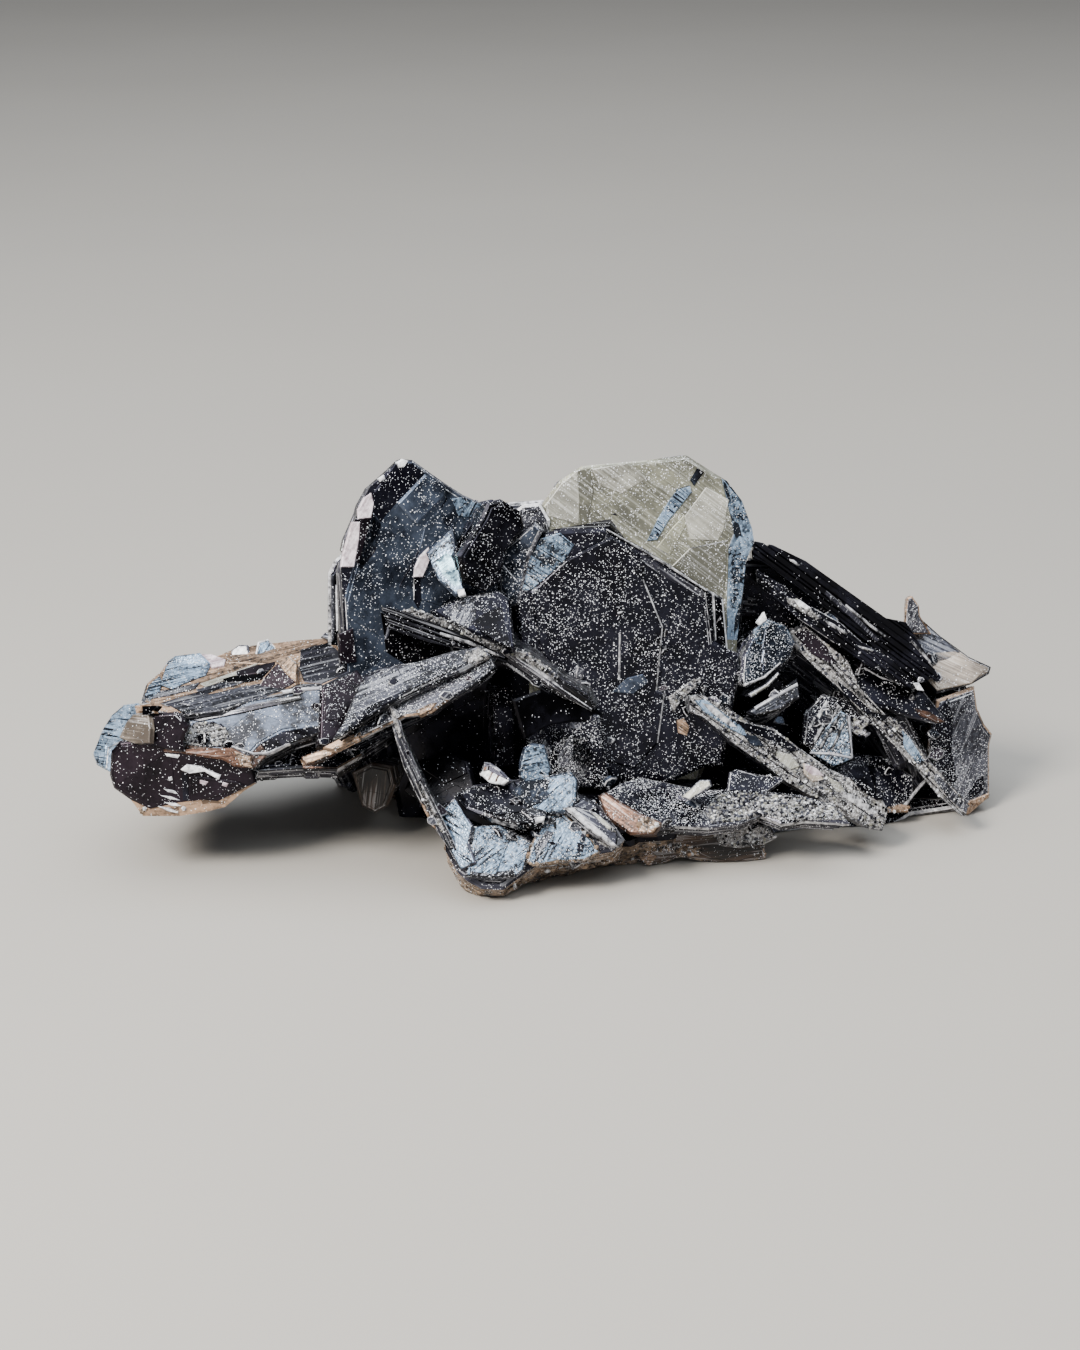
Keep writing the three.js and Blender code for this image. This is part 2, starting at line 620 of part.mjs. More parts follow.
const cluster = new THREE.Mesh(
  grownTogether(),
  new THREE.MeshStandardMaterial({
    color: METAL_COLOUR,
    roughness: METAL_ROUGHNESS,
    metalness: METAL_SHARE,
  }),
);
cluster.name = "hematite_cluster";
cluster.position.set(ORIGIN_SHIFT[0], ORIGIN_SHIFT[1], 0);

const specimen = new THREE.Group();
specimen.add(cluster);

export default specimen;
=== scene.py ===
"""The looks of a hematite specimen: its crystals, the films on them, dust, and a plain studio."""

import logging
import math
import random
from dataclasses import dataclass, field, fields
from enum import Enum
from typing import Any

import bmesh
import bpy
import numpy as np
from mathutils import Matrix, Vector
from mathutils.bvhtree import BVHTree
from mathutils.noise import noise


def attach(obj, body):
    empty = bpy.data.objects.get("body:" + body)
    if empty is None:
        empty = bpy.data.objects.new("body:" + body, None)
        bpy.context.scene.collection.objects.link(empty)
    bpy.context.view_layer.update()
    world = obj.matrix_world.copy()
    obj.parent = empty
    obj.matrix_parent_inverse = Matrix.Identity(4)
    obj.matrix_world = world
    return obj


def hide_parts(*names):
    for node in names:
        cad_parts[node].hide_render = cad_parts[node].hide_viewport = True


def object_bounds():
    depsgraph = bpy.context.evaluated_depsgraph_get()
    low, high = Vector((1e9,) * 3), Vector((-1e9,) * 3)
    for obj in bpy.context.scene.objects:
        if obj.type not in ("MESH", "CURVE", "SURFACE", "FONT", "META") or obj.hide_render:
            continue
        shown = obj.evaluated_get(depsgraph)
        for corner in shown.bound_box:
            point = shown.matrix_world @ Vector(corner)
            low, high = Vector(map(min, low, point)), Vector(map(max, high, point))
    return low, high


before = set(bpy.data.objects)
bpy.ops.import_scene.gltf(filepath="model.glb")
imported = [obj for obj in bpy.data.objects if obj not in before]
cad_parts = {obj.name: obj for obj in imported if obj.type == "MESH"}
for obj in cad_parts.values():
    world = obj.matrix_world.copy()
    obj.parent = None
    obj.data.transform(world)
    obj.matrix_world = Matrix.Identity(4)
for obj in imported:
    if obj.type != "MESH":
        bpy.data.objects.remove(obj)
cad_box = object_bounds()
log = logging.getLogger("hematite")

# The drawing that the crystals are drawn in, and the eye that it is drawn for, as in the part's source
MM = 0.001
UNIT = 140 / 895  # millimetres in a unit of the drawing
DRAWING_CENTRE = (540, 675)
DRAWING_HEIGHT = 1350
EYE_DISTANCE = 450
EYE_ELEVATION = 20
LOOKED_AT_HEIGHT = 25.4
ORIGIN_SHIFT = Vector((-2.4, -2.7, 0))
SENSOR_MM = 36

# How crystals are cut, in millimetres
RIM_RISE = 0.7  # height of a face over the widest outline
SUNK = 0.25  # how far the bare face lies under its growth layers
CHAMFER = 0.13  # the worn edge between two facets
FINE_RIM = 0.45  # width of a bevel that isn't drawn, in rims
CORNER_REACH = 2.2  # longest mitre, in rim widths
NEARLY_STRAIGHT = 0.12  # sine of a corner's turn under which it isn't mitred
LEAST_SIDE = 0.05  # corners that a cut leaves closer together than this become one
OVERLAP = 0.02  # how far neighbouring leaves reach into each other
CRYSTAL_ANGLES = (0, 60, 120)  # directions of the growth steps on a face
LEAST_SEEN = 0.3  # how far a face's striations may be drawn coarser so that they show on a slant
SIDE_SHIFT = 3.7  # moves the striations on from one side to the next, so that none run round a corner

# Notches in the edges of leaves
LEAST_NOTCHED = 4.0  # shorter edges stay whole
WHOLE_EDGES = 0.35  # share of the longer edges that stay whole too
NOTCH_START = (0.08, 0.6)  # as a share of the edge
NOTCH_END = 0.93
NOTCH_LENGTH = (1.2, 5)
NOTCH_DEPTH = (0.3, 1)  # as a share of the deepest
NOTCH_SLANTS = (0.25, 0.3)  # how far its two sides lean


def facing(turn: float, tip: float) -> Vector:
    """Unit vector of a face turned to the viewer's right and tipped up, both in degrees."""
    a, b = math.radians(turn), math.radians(tip)
    return Vector((math.sin(a) * math.cos(b), -math.cos(a) * math.cos(b), math.sin(b)))


LOOKED_AT = Vector((0, 0, LOOKED_AT_HEIGHT))
TO_EYE = facing(0, EYE_ELEVATION)
EYE = LOOKED_AT + TO_EYE * EYE_DISTANCE
PICTURE_UP = facing(180, 90 - EYE_ELEVATION)


def linear(code: str) -> tuple[float, ...]:
    """Turns an sRGB hex colour to linear.

    Args:
        code: six hex digits after a hash.

    Returns:
        The linear red, green and blue, and an alpha of one.
    """
    parts = [int(code[i:i + 2], 16) / 255 for i in (1, 3, 5)]
    return *(p / 12.92 if p <= 0.04045 else ((p + 0.055) / 1.055) ** 2.4 for p in parts), 1.0


class Film(Enum):
    """What a facet is coated with, how it broke, or what reflection or highlight is painted on it."""

    BLACK = "black_specular"
    LEAVES = "striated_leaves"
    PURPLE = "purple_black"
    STEEL = "steel_grey"
    BLUE = "pale_blue_tarnish"
    CYAN = "bright_cleavage"
    SPAR = "white_dusted"
    OLIVE = "olive_bloom"
    CREAM = "pale_olive_bloom"
    SAND = "sand_bloom"
    TAN = "tan_iron_stain"
    ROSE = "rose_white_chip"
    MAUVE = "mauve_rust"
    BROWN = "brown_fibrous"
    GREY = "dusted_grey"
    CRUST = "grey_crust"
    EDGE = "worn_edge"
    ROCK = "broken_matrix"


# The films' own names, in their order, as the tables below say them
(BLACK, LEAVES, PURPLE, STEEL, BLUE, CYAN, SPAR, OLIVE, CREAM, SAND, TAN, ROSE, MAUVE, BROWN, GREY, CRUST,
 EDGE, ROCK) = Film


class Build(Enum):
    """How the leaves of a crystal are stacked."""

    BOOK = "leaves that lie behind its face"
    BLADE = "leaves seen on their edge"


@dataclass(frozen=True)
class Facet:
    """A growth layer or chip on a crystal's face, or a patch of painted highlight or shade, drawn as the
    viewer sees it.
    """

    film: Film
    drawn: str
    rise: float = 0.16
    tone: float | None = None


def facets_of(table: str) -> tuple[Facet, ...]:
    """Reads a table of facets.

    Args:
        table: rows "FILM rise tone: x,y x,y" with a semicolon between two of them. The tone may be
            left out, and the rise with it.

    Returns:
        The facets.
    """
    made = []
    for row in table.split(";") if table else ():
        head, drawn = row.split(":")
        film, *sizes = head.split()
        made.append(Facet(Film[film], drawn, *(float(size) for size in sizes)))
    return tuple(made)


@dataclass(frozen=True)
class Crystal:
    """A tabular crystal: its widest outline as drawn, and the plane that the outline lies on.

    Points are written "x,y x,y" in units of the drawing; a third number is the bevel's width along
    the edge that starts there. The plane goes through the drawn point and depth of at, turned to the
    right and tipped up in degrees. Sizes are in millimetres. A film in marked covers the bevels
    along the numbered edges, and facets is a table of what stands on the face. Pitch is the
    thickness of a leaf, grain the direction of the striations, steps the number of growth layers,
    and tone is added to the random lightness of each leaf.
    """

    drawn: str
    at: tuple[float, float, float]
    turn: float
    tip: float
    thick: float
    rim: float = 0.8
    back_rim: float = 0.0
    ledge: float = 0.0
    face: Film = BLACK
    side: Film = LEAVES
    bevel: Film | None = None
    marked: tuple[tuple[Film, str], ...] = ()
    facets: str = ""
    build: Build = Build.BOOK
    pitch: float = 1.1
    grain: float = 60
    steps: int = 2
    dust: float = 1.0
    worn: float = 0.4
    tone: float = 0.0


def points_of(text: str) -> list[list[float]]:
    """Reads points written "x,y x,y"."""
    return [[float(number) for number in point.split(",")] for point in text.split()]


@dataclass
class Lay:
    """A plane in space with its own axes: across and up within it, out of its face."""

    middle: Vector
    turn: float
    tip: float
    across: Vector = field(init=False)
    up: Vector = field(init=False)
    out: Vector = field(init=False)

    def __post_init__(self) -> None:
        """Works out the axes."""
        self.out = facing(self.turn, self.tip)
        self.across = facing(self.turn + 90, 0)
        self.up = self.out.cross(self.across)

    def lift(self, x: float, y: float, depth: float) -> Vector:
        """The point in space at x and y on the plane, depth behind it."""
        return self.middle + self.across * x + self.up * y - self.out * depth

    def outline(self, drawn: str, depth: float = 0.0) -> list[Vector]:
        """Where the sight lines through drawn points meet the plane, or one at a depth behind it."""
        met = [sighted(p, self.middle - self.out * depth, self.out) - self.middle for p in points_of(drawn)]
        return [Vector((p.dot(self.across), p.dot(self.up))) for p in met]


def sighted(drawn: list[float], through: Vector, normal: Vector) -> Vector:
    """The point where the sight line through a drawn point meets a plane.

    Args:
        drawn: the point in the drawing.
        through: any point of the plane.
        normal: the plane's normal.

    Returns:
        The meeting point.
    """
    mark = LOOKED_AT + Vector(((drawn[0] - DRAWING_CENTRE[0]) * UNIT, 0, 0))
    mark += PICTURE_UP * ((DRAWING_CENTRE[1] - drawn[1]) * UNIT)
    along = (mark - EYE).normalized()
    return EYE + along * ((through - EYE).dot(normal) / along.dot(normal))


def heading(angle: float) -> Vector:
    """The direction in a plane at an angle in degrees."""
    return Vector((math.cos(math.radians(angle)), math.sin(math.radians(angle))))


def turned_left(way: Vector) -> Vector:
    """A direction in a plane, a quarter turn to the left."""
    return Vector((-way.y, way.x))


def sides(outline: list[Any]) -> list[tuple[Any, Any]]:
    """Each corner of an outline with the next one."""
    return list(zip(outline, outline[1:] + outline[:1]))


def doubled_area(outline: list[Vector]) -> float:
    """Twice the outline's area, positive where it runs anticlockwise."""
    return sum(p.x * q.y - q.x * p.y for p, q in sides(outline))


def span_along(outline: list[Vector], angle: float) -> tuple[float, float]:
    """The least and greatest reach of an outline along a direction given in degrees."""
    reach = [p.dot(heading(angle)) for p in outline]
    return min(reach), max(reach)


def inset(outline: list[Vector], widths: list[float] | float) -> list[Vector]:
    """Moves an outline in by a width for each edge, its corners mitred.

    Args:
        outline: the corners, anticlockwise.
        widths: one width for each edge, which starts at the corner of the same number, or one for all.

    Returns:
        As many corners as before.
    """
    if isinstance(widths, float):
        widths = [widths] * len(outline)
    edges = [(q - p).normalized() for p, q in sides(outline)]
    inward = [turned_left(edge) for edge in edges]
    moved = []
    for i, point in enumerate(outline):
        m, n, a, b = inward[i - 1], inward[i], widths[i - 1], widths[i]
        turning = m.x * n.y - m.y * n.x
        move = (m + n) * ((a + b) / 4)
        if abs(turning) > NEARLY_STRAIGHT:
            move = Vector(((a * n.y - b * m.y) / turning, (b * m.x - a * n.x) / turning))
        reach = CORNER_REACH * max(a, b)
        moved.append(point + (move.normalized() * reach if move.length > reach else move))
    for i, edge in enumerate(edges):  # an edge that the mitres on both sides use up is closed
        j = (i + 1) % len(edges)
        if (moved[j] - moved[i]).dot(edge) < 0:
            moved[i] = moved[j] = (moved[i] + moved[j]) / 2
    return moved


def cut(outline: list[Vector], angle: float, offset: float) -> list[Vector]:
    """The share of an outline on one side of a line.

    Args:
        outline: the corners.
        angle: the direction in degrees, in the plane, that the kept side lies in.
        offset: how far along that direction the line is.

    Returns:
        The corners that are left, none where nothing is.
    """
    way, kept = heading(angle), []
    for p, q in sides(outline):
        a, b = p.dot(way) - offset, q.dot(way) - offset
        if a >= 0:
            kept.append(p)
        if (a < 0) != (b < 0):
            kept.append(p.lerp(q, a / (a - b)))
    thinned = [p for p, q in sides(kept) if (p - q).length > LEAST_SIDE]
    return thinned if len(thinned) > 2 else []


def notched(outline: list[Vector], rng: random.Random, depth: float) -> list[Vector]:
    """Breaks shallow notches into the long edges of an outline.

    Args:
        outline: the corners, anticlockwise.
        rng: where the chance comes from.
        depth: the deepest notch.

    Returns:
        The outline with the notches' corners added.
    """
    made = []
    for p, q in sides(outline):
        made.append(p)
        length = (q - p).length
        if length < LEAST_NOTCHED or rng.random() < WHOLE_EDGES:
            continue
        start = rng.uniform(*NOTCH_START)
        end = min(start + rng.uniform(*NOTCH_LENGTH) / length, NOTCH_END)
        floor = turned_left((q - p).normalized()) * rng.uniform(*NOTCH_DEPTH) * depth
        made += [p.lerp(q, start), p.lerp(q, start + NOTCH_SLANTS[0] / length) + floor]
        made += [p.lerp(q, end - NOTCH_SLANTS[1] / length) + floor, p.lerp(q, end)]
    return made


@dataclass
class Ring:
    """One copy of an outline at a depth, and the films of the band that follows it."""

    outline: list[Vector]
    depth: float
    film: Film | list[Film]

    def film_at(self, edge: int) -> Film:
        """The film of the band behind one edge."""
        return self.film[edge] if isinstance(self.film, list) else self.film


@dataclass
class Mass:
    """Gathers closed solids, facet by facet, and turns them into one mesh."""

    name: str
    points: list[Vector] = field(default_factory=list)
    faces: list[tuple[int, ...]] = field(default_factory=list)
    films: list[Film] = field(default_factory=list)
    tones: list[float] = field(default_factory=list)
    dusts: list[float] = field(default_factory=list)
    grains: list[list[tuple[float, float]]] = field(default_factory=list)

    def stack(self, rings: list[Ring], lay: Lay, tone: float, dust: float, grain: float, cap: Film) -> None:
        """Adds the closed solid that runs through a stack of rings.

        Args:
            rings: copies of one outline, from the face in front to the face behind.
            lay: the plane that the outlines lie on.
            tone: how light the solid is among its neighbours, from 0 to 1.
            dust: how much dust lies on it.
            grain: direction of the striations on the face, in degrees.
            cap: the film of the face.
        """
        first, count = len(self.points), len(rings[0].outline)
        for ring in rings:
            self.points += [lay.lift(p.x, p.y, ring.depth) for p in ring.outline]
        cos, sin = math.cos(math.radians(grain)), math.sin(math.radians(grain))
        seen = max(abs(lay.out.dot(TO_EYE)), LEAST_SEEN)
        turned = [(p.x * cos + p.y * sin, (p.y * cos - p.x * sin) * seen) for p in rings[0].outline]
        last = first + (len(rings) - 1) * count
        self.face(tuple(range(first, first + count)), cap, tone, dust, turned)
        back = tuple(range(last + count - 1, last - 1, -1))
        self.face(back, rings[-1].film_at(0), tone, dust, turned[::-1])
        for k, ring in enumerate(rings[:-1]):
            base, along = first + k * count, 0.0
            for i in range(count):
                j = (i + 1) % count
                end = along + (ring.outline[j] - ring.outline[i]).length
                near, far = ring.depth + i * SIDE_SHIFT, rings[k + 1].depth + i * SIDE_SHIFT
                self.face((base + i, base + count + i, base + count + j, base + j), ring.film_at(i), tone,
                          dust, [(along, near), (along, far), (end, far), (end, near)])
                along = end

    def face(self, corners: tuple[int, ...], film: Film, tone: float, dust: float,
             spots: list[tuple[float, float]]) -> None:
        """Adds one face.

        Args:
            corners: the numbers of its points, anticlockwise from outside.
            film: its film.
            tone: how light it is.
            dust: how much dust lies on it.
            spots: where each corner lies among the striations.
        """
        self.faces.append(corners)
        self.films.append(film)
        self.tones.append(tone)
        self.dusts.append(dust)
        self.grains.append(spots)

    def join(self, other: "Mass") -> None:
        """Takes in more solids.

        Args:
            other: the mass that they are copied from.
        """
        first = len(self.points)
        self.faces += [tuple(first + i for i in corners) for corners in other.faces]
        for name in ("points", "films", "tones", "dusts", "grains"):
            getattr(self, name).extend(getattr(other, name))

    def piece(self, finishes: dict[Film, bpy.types.Material]) -> None:
        """Makes the mesh object in metres, cut flat at the ground, in the place of the plain solid.

        Args:
            finishes: the material of each film.
        """
        mesh = bpy.data.meshes.new(self.name)
        mesh.from_pydata([(p + ORIGIN_SHIFT) * MM for p in self.points], [], self.faces)
        used = sorted(set(self.films), key=lambda film: film.value)
        for film in used:
            mesh.materials.append(finishes[film])
        place = {film: i for i, film in enumerate(used)}
        mesh.polygons.foreach_set("material_index", [place[film] for film in self.films])
        for name, shares in (("tone", self.tones), ("dust", self.dusts)):
            mesh.attributes.new(name, "FLOAT", "FACE").data.foreach_set("value", shares)
        flat = [value for spots in self.grains for spot in spots for value in spot]
        mesh.uv_layers.new(name="grain").uv.foreach_set("vector", flat)
        cut_at_ground(mesh)
        made = placed(self.name, mesh)
        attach(made, "root")
        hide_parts("hematite_cluster")
        log.info("%s: %d faces, %d films", self.name, len(mesh.polygons), len(used))


def cut_at_ground(mesh: bpy.types.Mesh) -> None:
    """Cuts closed solids off at the rest plane and closes the cuts.

    Args:
        mesh: the solids, changed in place.
    """
    work = bmesh.new()
    work.from_mesh(mesh)
    bmesh.ops.bisect_plane(
        work, geom=[*work.verts, *work.edges, *work.faces], dist=1e-7,
        plane_co=(0, 0, 0), plane_no=(0, 0, -1), clear_outer=True,
    )
    bmesh.ops.holes_fill(work, edges=[e for e in work.edges if e.is_boundary], sides=0)
    work.to_mesh(mesh)
    work.free()


def placed(name: str, data: bpy.types.ID) -> bpy.types.Object:
    """Puts an object in the scene.

    Args:
        name: its name.
        data: its mesh, lamp or camera.

    Returns:
        The object.
    """
    made = bpy.data.objects.new(name, data)
    bpy.context.scene.collection.objects.link(made)
    return made


@dataclass
class CrystalMaker:
    """Builds the leaves, bevels and growth layers of one crystal.

    The outline lies on the plane of the lay, with the width of a bevel for each edge. Random shares
    come from the seed.
    """

    mass: Mass
    crystal: Crystal
    lay: Lay
    outline: list[Vector]
    bevels: list[float]
    seed: str

    leaf_spread = (0.6, 1.4)  # the thinnest and thickest leaf, in pitches
    least_leaf = 0.3  # a last leaf thinner than this is joined to the one before it
    filled = 0.05  # the leaves end this close to the crystal's back
    leaf_dust = 0.6
    tucked = 0.1  # how far the first leaf reaches into the cap
    ragged = 0.45  # how unevenly the leaves end
    tapered = 0.06  # how much smaller a leaf's back is than its front
    deepest_notch, least_notched = 0.8, 0.6  # leaves thinner than the second have no notches
    cap_back = 0.15  # how far the cap's back stands in
    bevel_slope, leaf_slope = 0.6, 0.8  # depth of the worn edges as a share of their width
    face_wear, side_wear, layer_wear = 0.6, 0.5, 0.35  # as shares of the crystal's own wear
    lightness = (0.15, 0.85)
    rooted, step_rooted = 0.6, 0.12  # how deep a drawn layer and a growth step reach under the face
    step_margin = 0.25  # how far growth steps keep from the bevels
    least_stepped, least_step = 50, 16  # doubled areas of a face with growth steps, and of a step
    step_heights = (0.4, 0.55)  # height of the lowest step, and what the others have over it
    first_cut, second_cut = (0.25, 0.75), (0.15, 0.5)  # where steps are cut, as shares of the face
    second_cuts, second_turns = 0.6, (60, 120, -60)  # share of the steps that are cut twice, and how
    least_strip = 0.4
    outer_drops, inner_drops = (0.1, 0.35), (0.0, 0.0, 0.2, 0.45)  # how low a blade's leaves start
    short_leaves, shortened = 0.6, 1.2  # share of a blade's inner leaves that end early, and how early
    strip_waist, strip_back = 0.3, 0.1  # depth of a leaf's widest outline, and how far its back stands in

    def __post_init__(self) -> None:
        """Turns the outline anticlockwise and works out what the crystal's parts share."""
        crystal, outline = self.crystal, self.outline
        self.rng = random.Random(self.seed)
        self.rim_films = [crystal.bevel or crystal.side] * len(outline)
        for film, edges in crystal.marked:
            for edge in edges.split():
                self.rim_films[int(edge)] = film
        if doubled_area(outline) < 0:
            outline.reverse()
            for edges in (self.bevels, self.rim_films):
                edges.reverse()
                edges.append(edges.pop(0))
        rise = min(RIM_RISE, crystal.rim)
        self.sunk = min(SUNK, rise / 2)
        self.rise, self.base = rise, self.sunk - rise
        self.back_rim = crystal.back_rim or 2 * crystal.rim
        self.cap_depth = min(crystal.pitch, crystal.thick / 2)

    @classmethod
    def of_drawn(cls, mass: Mass, crystal: Crystal, seed: str) -> "CrystalMaker":
        """Lays a drawn outline on the crystal's plane along the sight lines.

        Args:
            mass: what the crystal is added to.
            crystal: the drawn crystal.
            seed: what its random shares come from.

        Returns:
            Its maker.
        """
        x, y, depth = crystal.at
        lay = Lay(sighted([x, y], Vector((0, depth, 0)), Vector((0, 1, 0))), crystal.turn, crystal.tip)
        bevels = [p[2] if len(p) > 2 else crystal.rim * FINE_RIM for p in points_of(crystal.drawn)]
        return cls(mass, crystal, lay, lay.outline(crystal.drawn), bevels, seed)

    def build(self) -> None:
        """Adds the whole crystal."""
        if self.crystal.build is Build.BLADE:
            self.strips()
        else:
            self.cap()
            self.leaves()
            self.growth_steps()
        for facet in facets_of(self.crystal.facets):
            outline = self.lay.outline(facet.drawn, self.base)
            if doubled_area(outline) < 0:
                outline.reverse()
            self.layer(outline, facet.rise, facet.film, self.rooted, facet.tone)

    def rubbed(self, film: Film, count: int, share: float = 1) -> list[Film]:
        """Films for the edges of a ring, some of them pale, as rubbed wear that also paints glints on edges.

        Args:
            film: the film of the others.
            count: how many edges there are.
            share: how worn the edges are, as a share of the crystal's own wear.

        Returns:
            One film for each edge.
        """
        worn = self.crystal.worn * share
        return [EDGE if self.rng.random() < worn else film for _ in range(count)]

    def add(self, rings: list[Ring], dust: float, cap: Film, tone: float | None = None,
            grain: float | None = None) -> None:
        """Adds one leaf of the crystal.

        Args:
            rings: its outlines.
            dust: how much dust lies on it, as a share of the crystal's own.
            cap: the film of its face.
            tone: how light it is, or none for a random lightness.
            grain: direction of its striations, or none for the crystal's own.
        """
        if tone is None:
            tone = self.rng.uniform(*self.lightness) + self.crystal.tone
        along = self.crystal.grain if grain is None else grain
        self.mass.stack(rings, self.lay, tone, dust * self.crystal.dust, along, cap)

    def cap(self) -> None:
        """Adds the face with its bevel."""
        c, count = self.crystal, len(self.outline)
        self.add([
            Ring(inset(self.outline, [b + CHAMFER for b in self.bevels]), self.base,
                 self.rubbed(c.face, count, self.face_wear)),
            Ring(inset(self.outline, self.bevels), self.base + CHAMFER * self.bevel_slope, self.rim_films),
            Ring(self.outline, 0.0, self.rubbed(c.side, count, self.side_wear)),
            Ring(inset(self.outline, self.cap_back), self.cap_depth, c.side),
        ], 1.0, c.face)

    def leaves(self) -> None:
        """Adds the leaves behind the cap, each with its own ragged outline."""
        c, rng, outline = self.crystal, self.rng, self.outline
        depth = self.cap_depth - self.tucked
        while depth < c.thick - self.filled:
            end = min(depth + c.pitch * rng.uniform(*self.leaf_spread), c.thick)
            if c.thick - end < self.least_leaf:
                end = c.thick
            if c.pitch > self.least_notched:
                outline = notched(self.outline, rng, min(self.deepest_notch, c.rim))
            widths = [self.drawn_in(depth) + rng.uniform(0, self.ragged) for _ in outline]
            self.add([
                Ring(inset(outline, [w + CHAMFER for w in widths]), depth,
                     self.rubbed(c.side, len(outline), self.side_wear)),
                Ring(inset(outline, widths), depth + CHAMFER * self.leaf_slope, c.side),
                Ring(inset(outline, [w + self.tapered for w in widths]), end, c.side),
            ], self.leaf_dust, c.side)
            depth = end - OVERLAP

    def drawn_in(self, depth: float) -> float:
        """How far the side stands in from the widest outline.

        Args:
            depth: how far behind that outline.

        Returns:
            The width, the same all round.
        """
        c = self.crystal
        if c.ledge == 0:
            return self.back_rim * depth / c.thick
        if depth < c.ledge:
            return 0.0
        return self.rise + (self.back_rim - self.rise) * (depth - c.ledge) / (c.thick - c.ledge)

    def growth_steps(self) -> None:
        """Adds thin growth layers on the face, cut along the crystal's own directions."""
        c, rng = self.crystal, self.rng
        region = inset(self.outline, [b + CHAMFER + self.step_margin for b in self.bevels])
        if doubled_area(region) < self.least_stepped:
            return
        turned, (lowest, spread) = rng.choice(CRYSTAL_ANGLES) + c.grain, self.step_heights
        for k in range(c.steps):
            angle = turned + rng.choice(CRYSTAL_ANGLES) + 180 * rng.randint(0, 1)
            layer = self.cut_within(region, angle, self.first_cut)
            if rng.random() < self.second_cuts and layer:
                layer = self.cut_within(layer, angle + rng.choice(self.second_turns), self.second_cut)
            if layer and doubled_area(layer) > self.least_step:
                self.layer(layer, self.sunk * (lowest + spread * k / c.steps), c.face)

    def cut_within(self, outline: list[Vector], angle: float, spread: tuple[float, float]) -> list[Vector]:
        """Cuts an outline at a random share of its reach.

        Args:
            outline: the corners.
            angle: the direction in degrees that the kept side lies in.
            spread: the least and greatest share that is cut off.

        Returns:
            The corners that are left.
        """
        low, high = span_along(outline, angle)
        return cut(outline, angle, low + (high - low) * self.rng.uniform(*spread))

    def layer(self, outline: list[Vector], height: float, film: Film, rooted: float = step_rooted,
              tone: float | None = None) -> None:
        """Adds one thin layer that stands on the face.

        Args:
            outline: its corners on the crystal's plane, anticlockwise.
            height: how far it stands up.
            film: its film.
            rooted: how deep it reaches under the face.
            tone: how light it is, or none for a random lightness.
        """
        self.add([
            Ring(inset(outline, CHAMFER), self.base - height,
                 self.rubbed(film, len(outline), self.layer_wear)),
            Ring(outline, self.base - height + min(CHAMFER, height), film),
            Ring(outline, self.base + rooted, film),
        ], 1.0, film, tone)

    def strips(self) -> None:
        """Cuts the outline into long leaves, side by side, at slightly different heights."""
        c, rng = self.crystal, self.rng
        far = max((p - q for p in self.outline for q in self.outline), key=lambda way: way.length)
        along = math.degrees(math.atan2(far.y, far.x))
        low, high = span_along(self.outline, along + 90)
        edge, strips = low, []
        while edge < high - self.least_strip / 2:
            end = edge + c.pitch * rng.uniform(*self.leaf_spread)
            if high - end < self.least_strip:
                end = high
            strips.append(cut(cut(self.outline, along + 90, edge), along - 90, -end))
            edge = end
        strips = [strip for strip in strips if strip]
        for k, strip in enumerate(strips):
            outermost = k in (0, len(strips) - 1)
            drop = rng.uniform(*self.outer_drops) if outermost else rng.choice(self.inner_drops)
            least, most = span_along(strip, along)
            if not outermost and rng.random() < self.short_leaves:
                strip = cut(strip, along, least + rng.uniform(0, self.shortened)) or strip
                strip = cut(strip, along + 180, -(most - rng.uniform(0, self.shortened))) or strip
            self.add([
                Ring(inset(strip, CHAMFER), drop - self.rise, self.rubbed(c.side, len(strip))),
                Ring(inset(strip, OVERLAP), drop - self.rise + CHAMFER, c.side),
                Ring(strip, self.strip_waist, c.side),
                Ring(inset(strip, self.strip_back), c.thick, c.side),
            ], 1.0, c.face, grain=along)


@dataclass(frozen=True)
class Cluster:
    """A group of crystals that makes one piece of the model."""

    piece_name: str = "cluster"

    def mass(self) -> Mass:
        """Builds every crystal among the fields.

        Returns:
            Their solids.
        """
        gathered = Mass(self.piece_name)
        for item in fields(self):
            crystal = getattr(self, item.name)
            if isinstance(crystal, Crystal):
                CrystalMaker.of_drawn(gathered, crystal, self.piece_name + item.name).build()
        return gathered


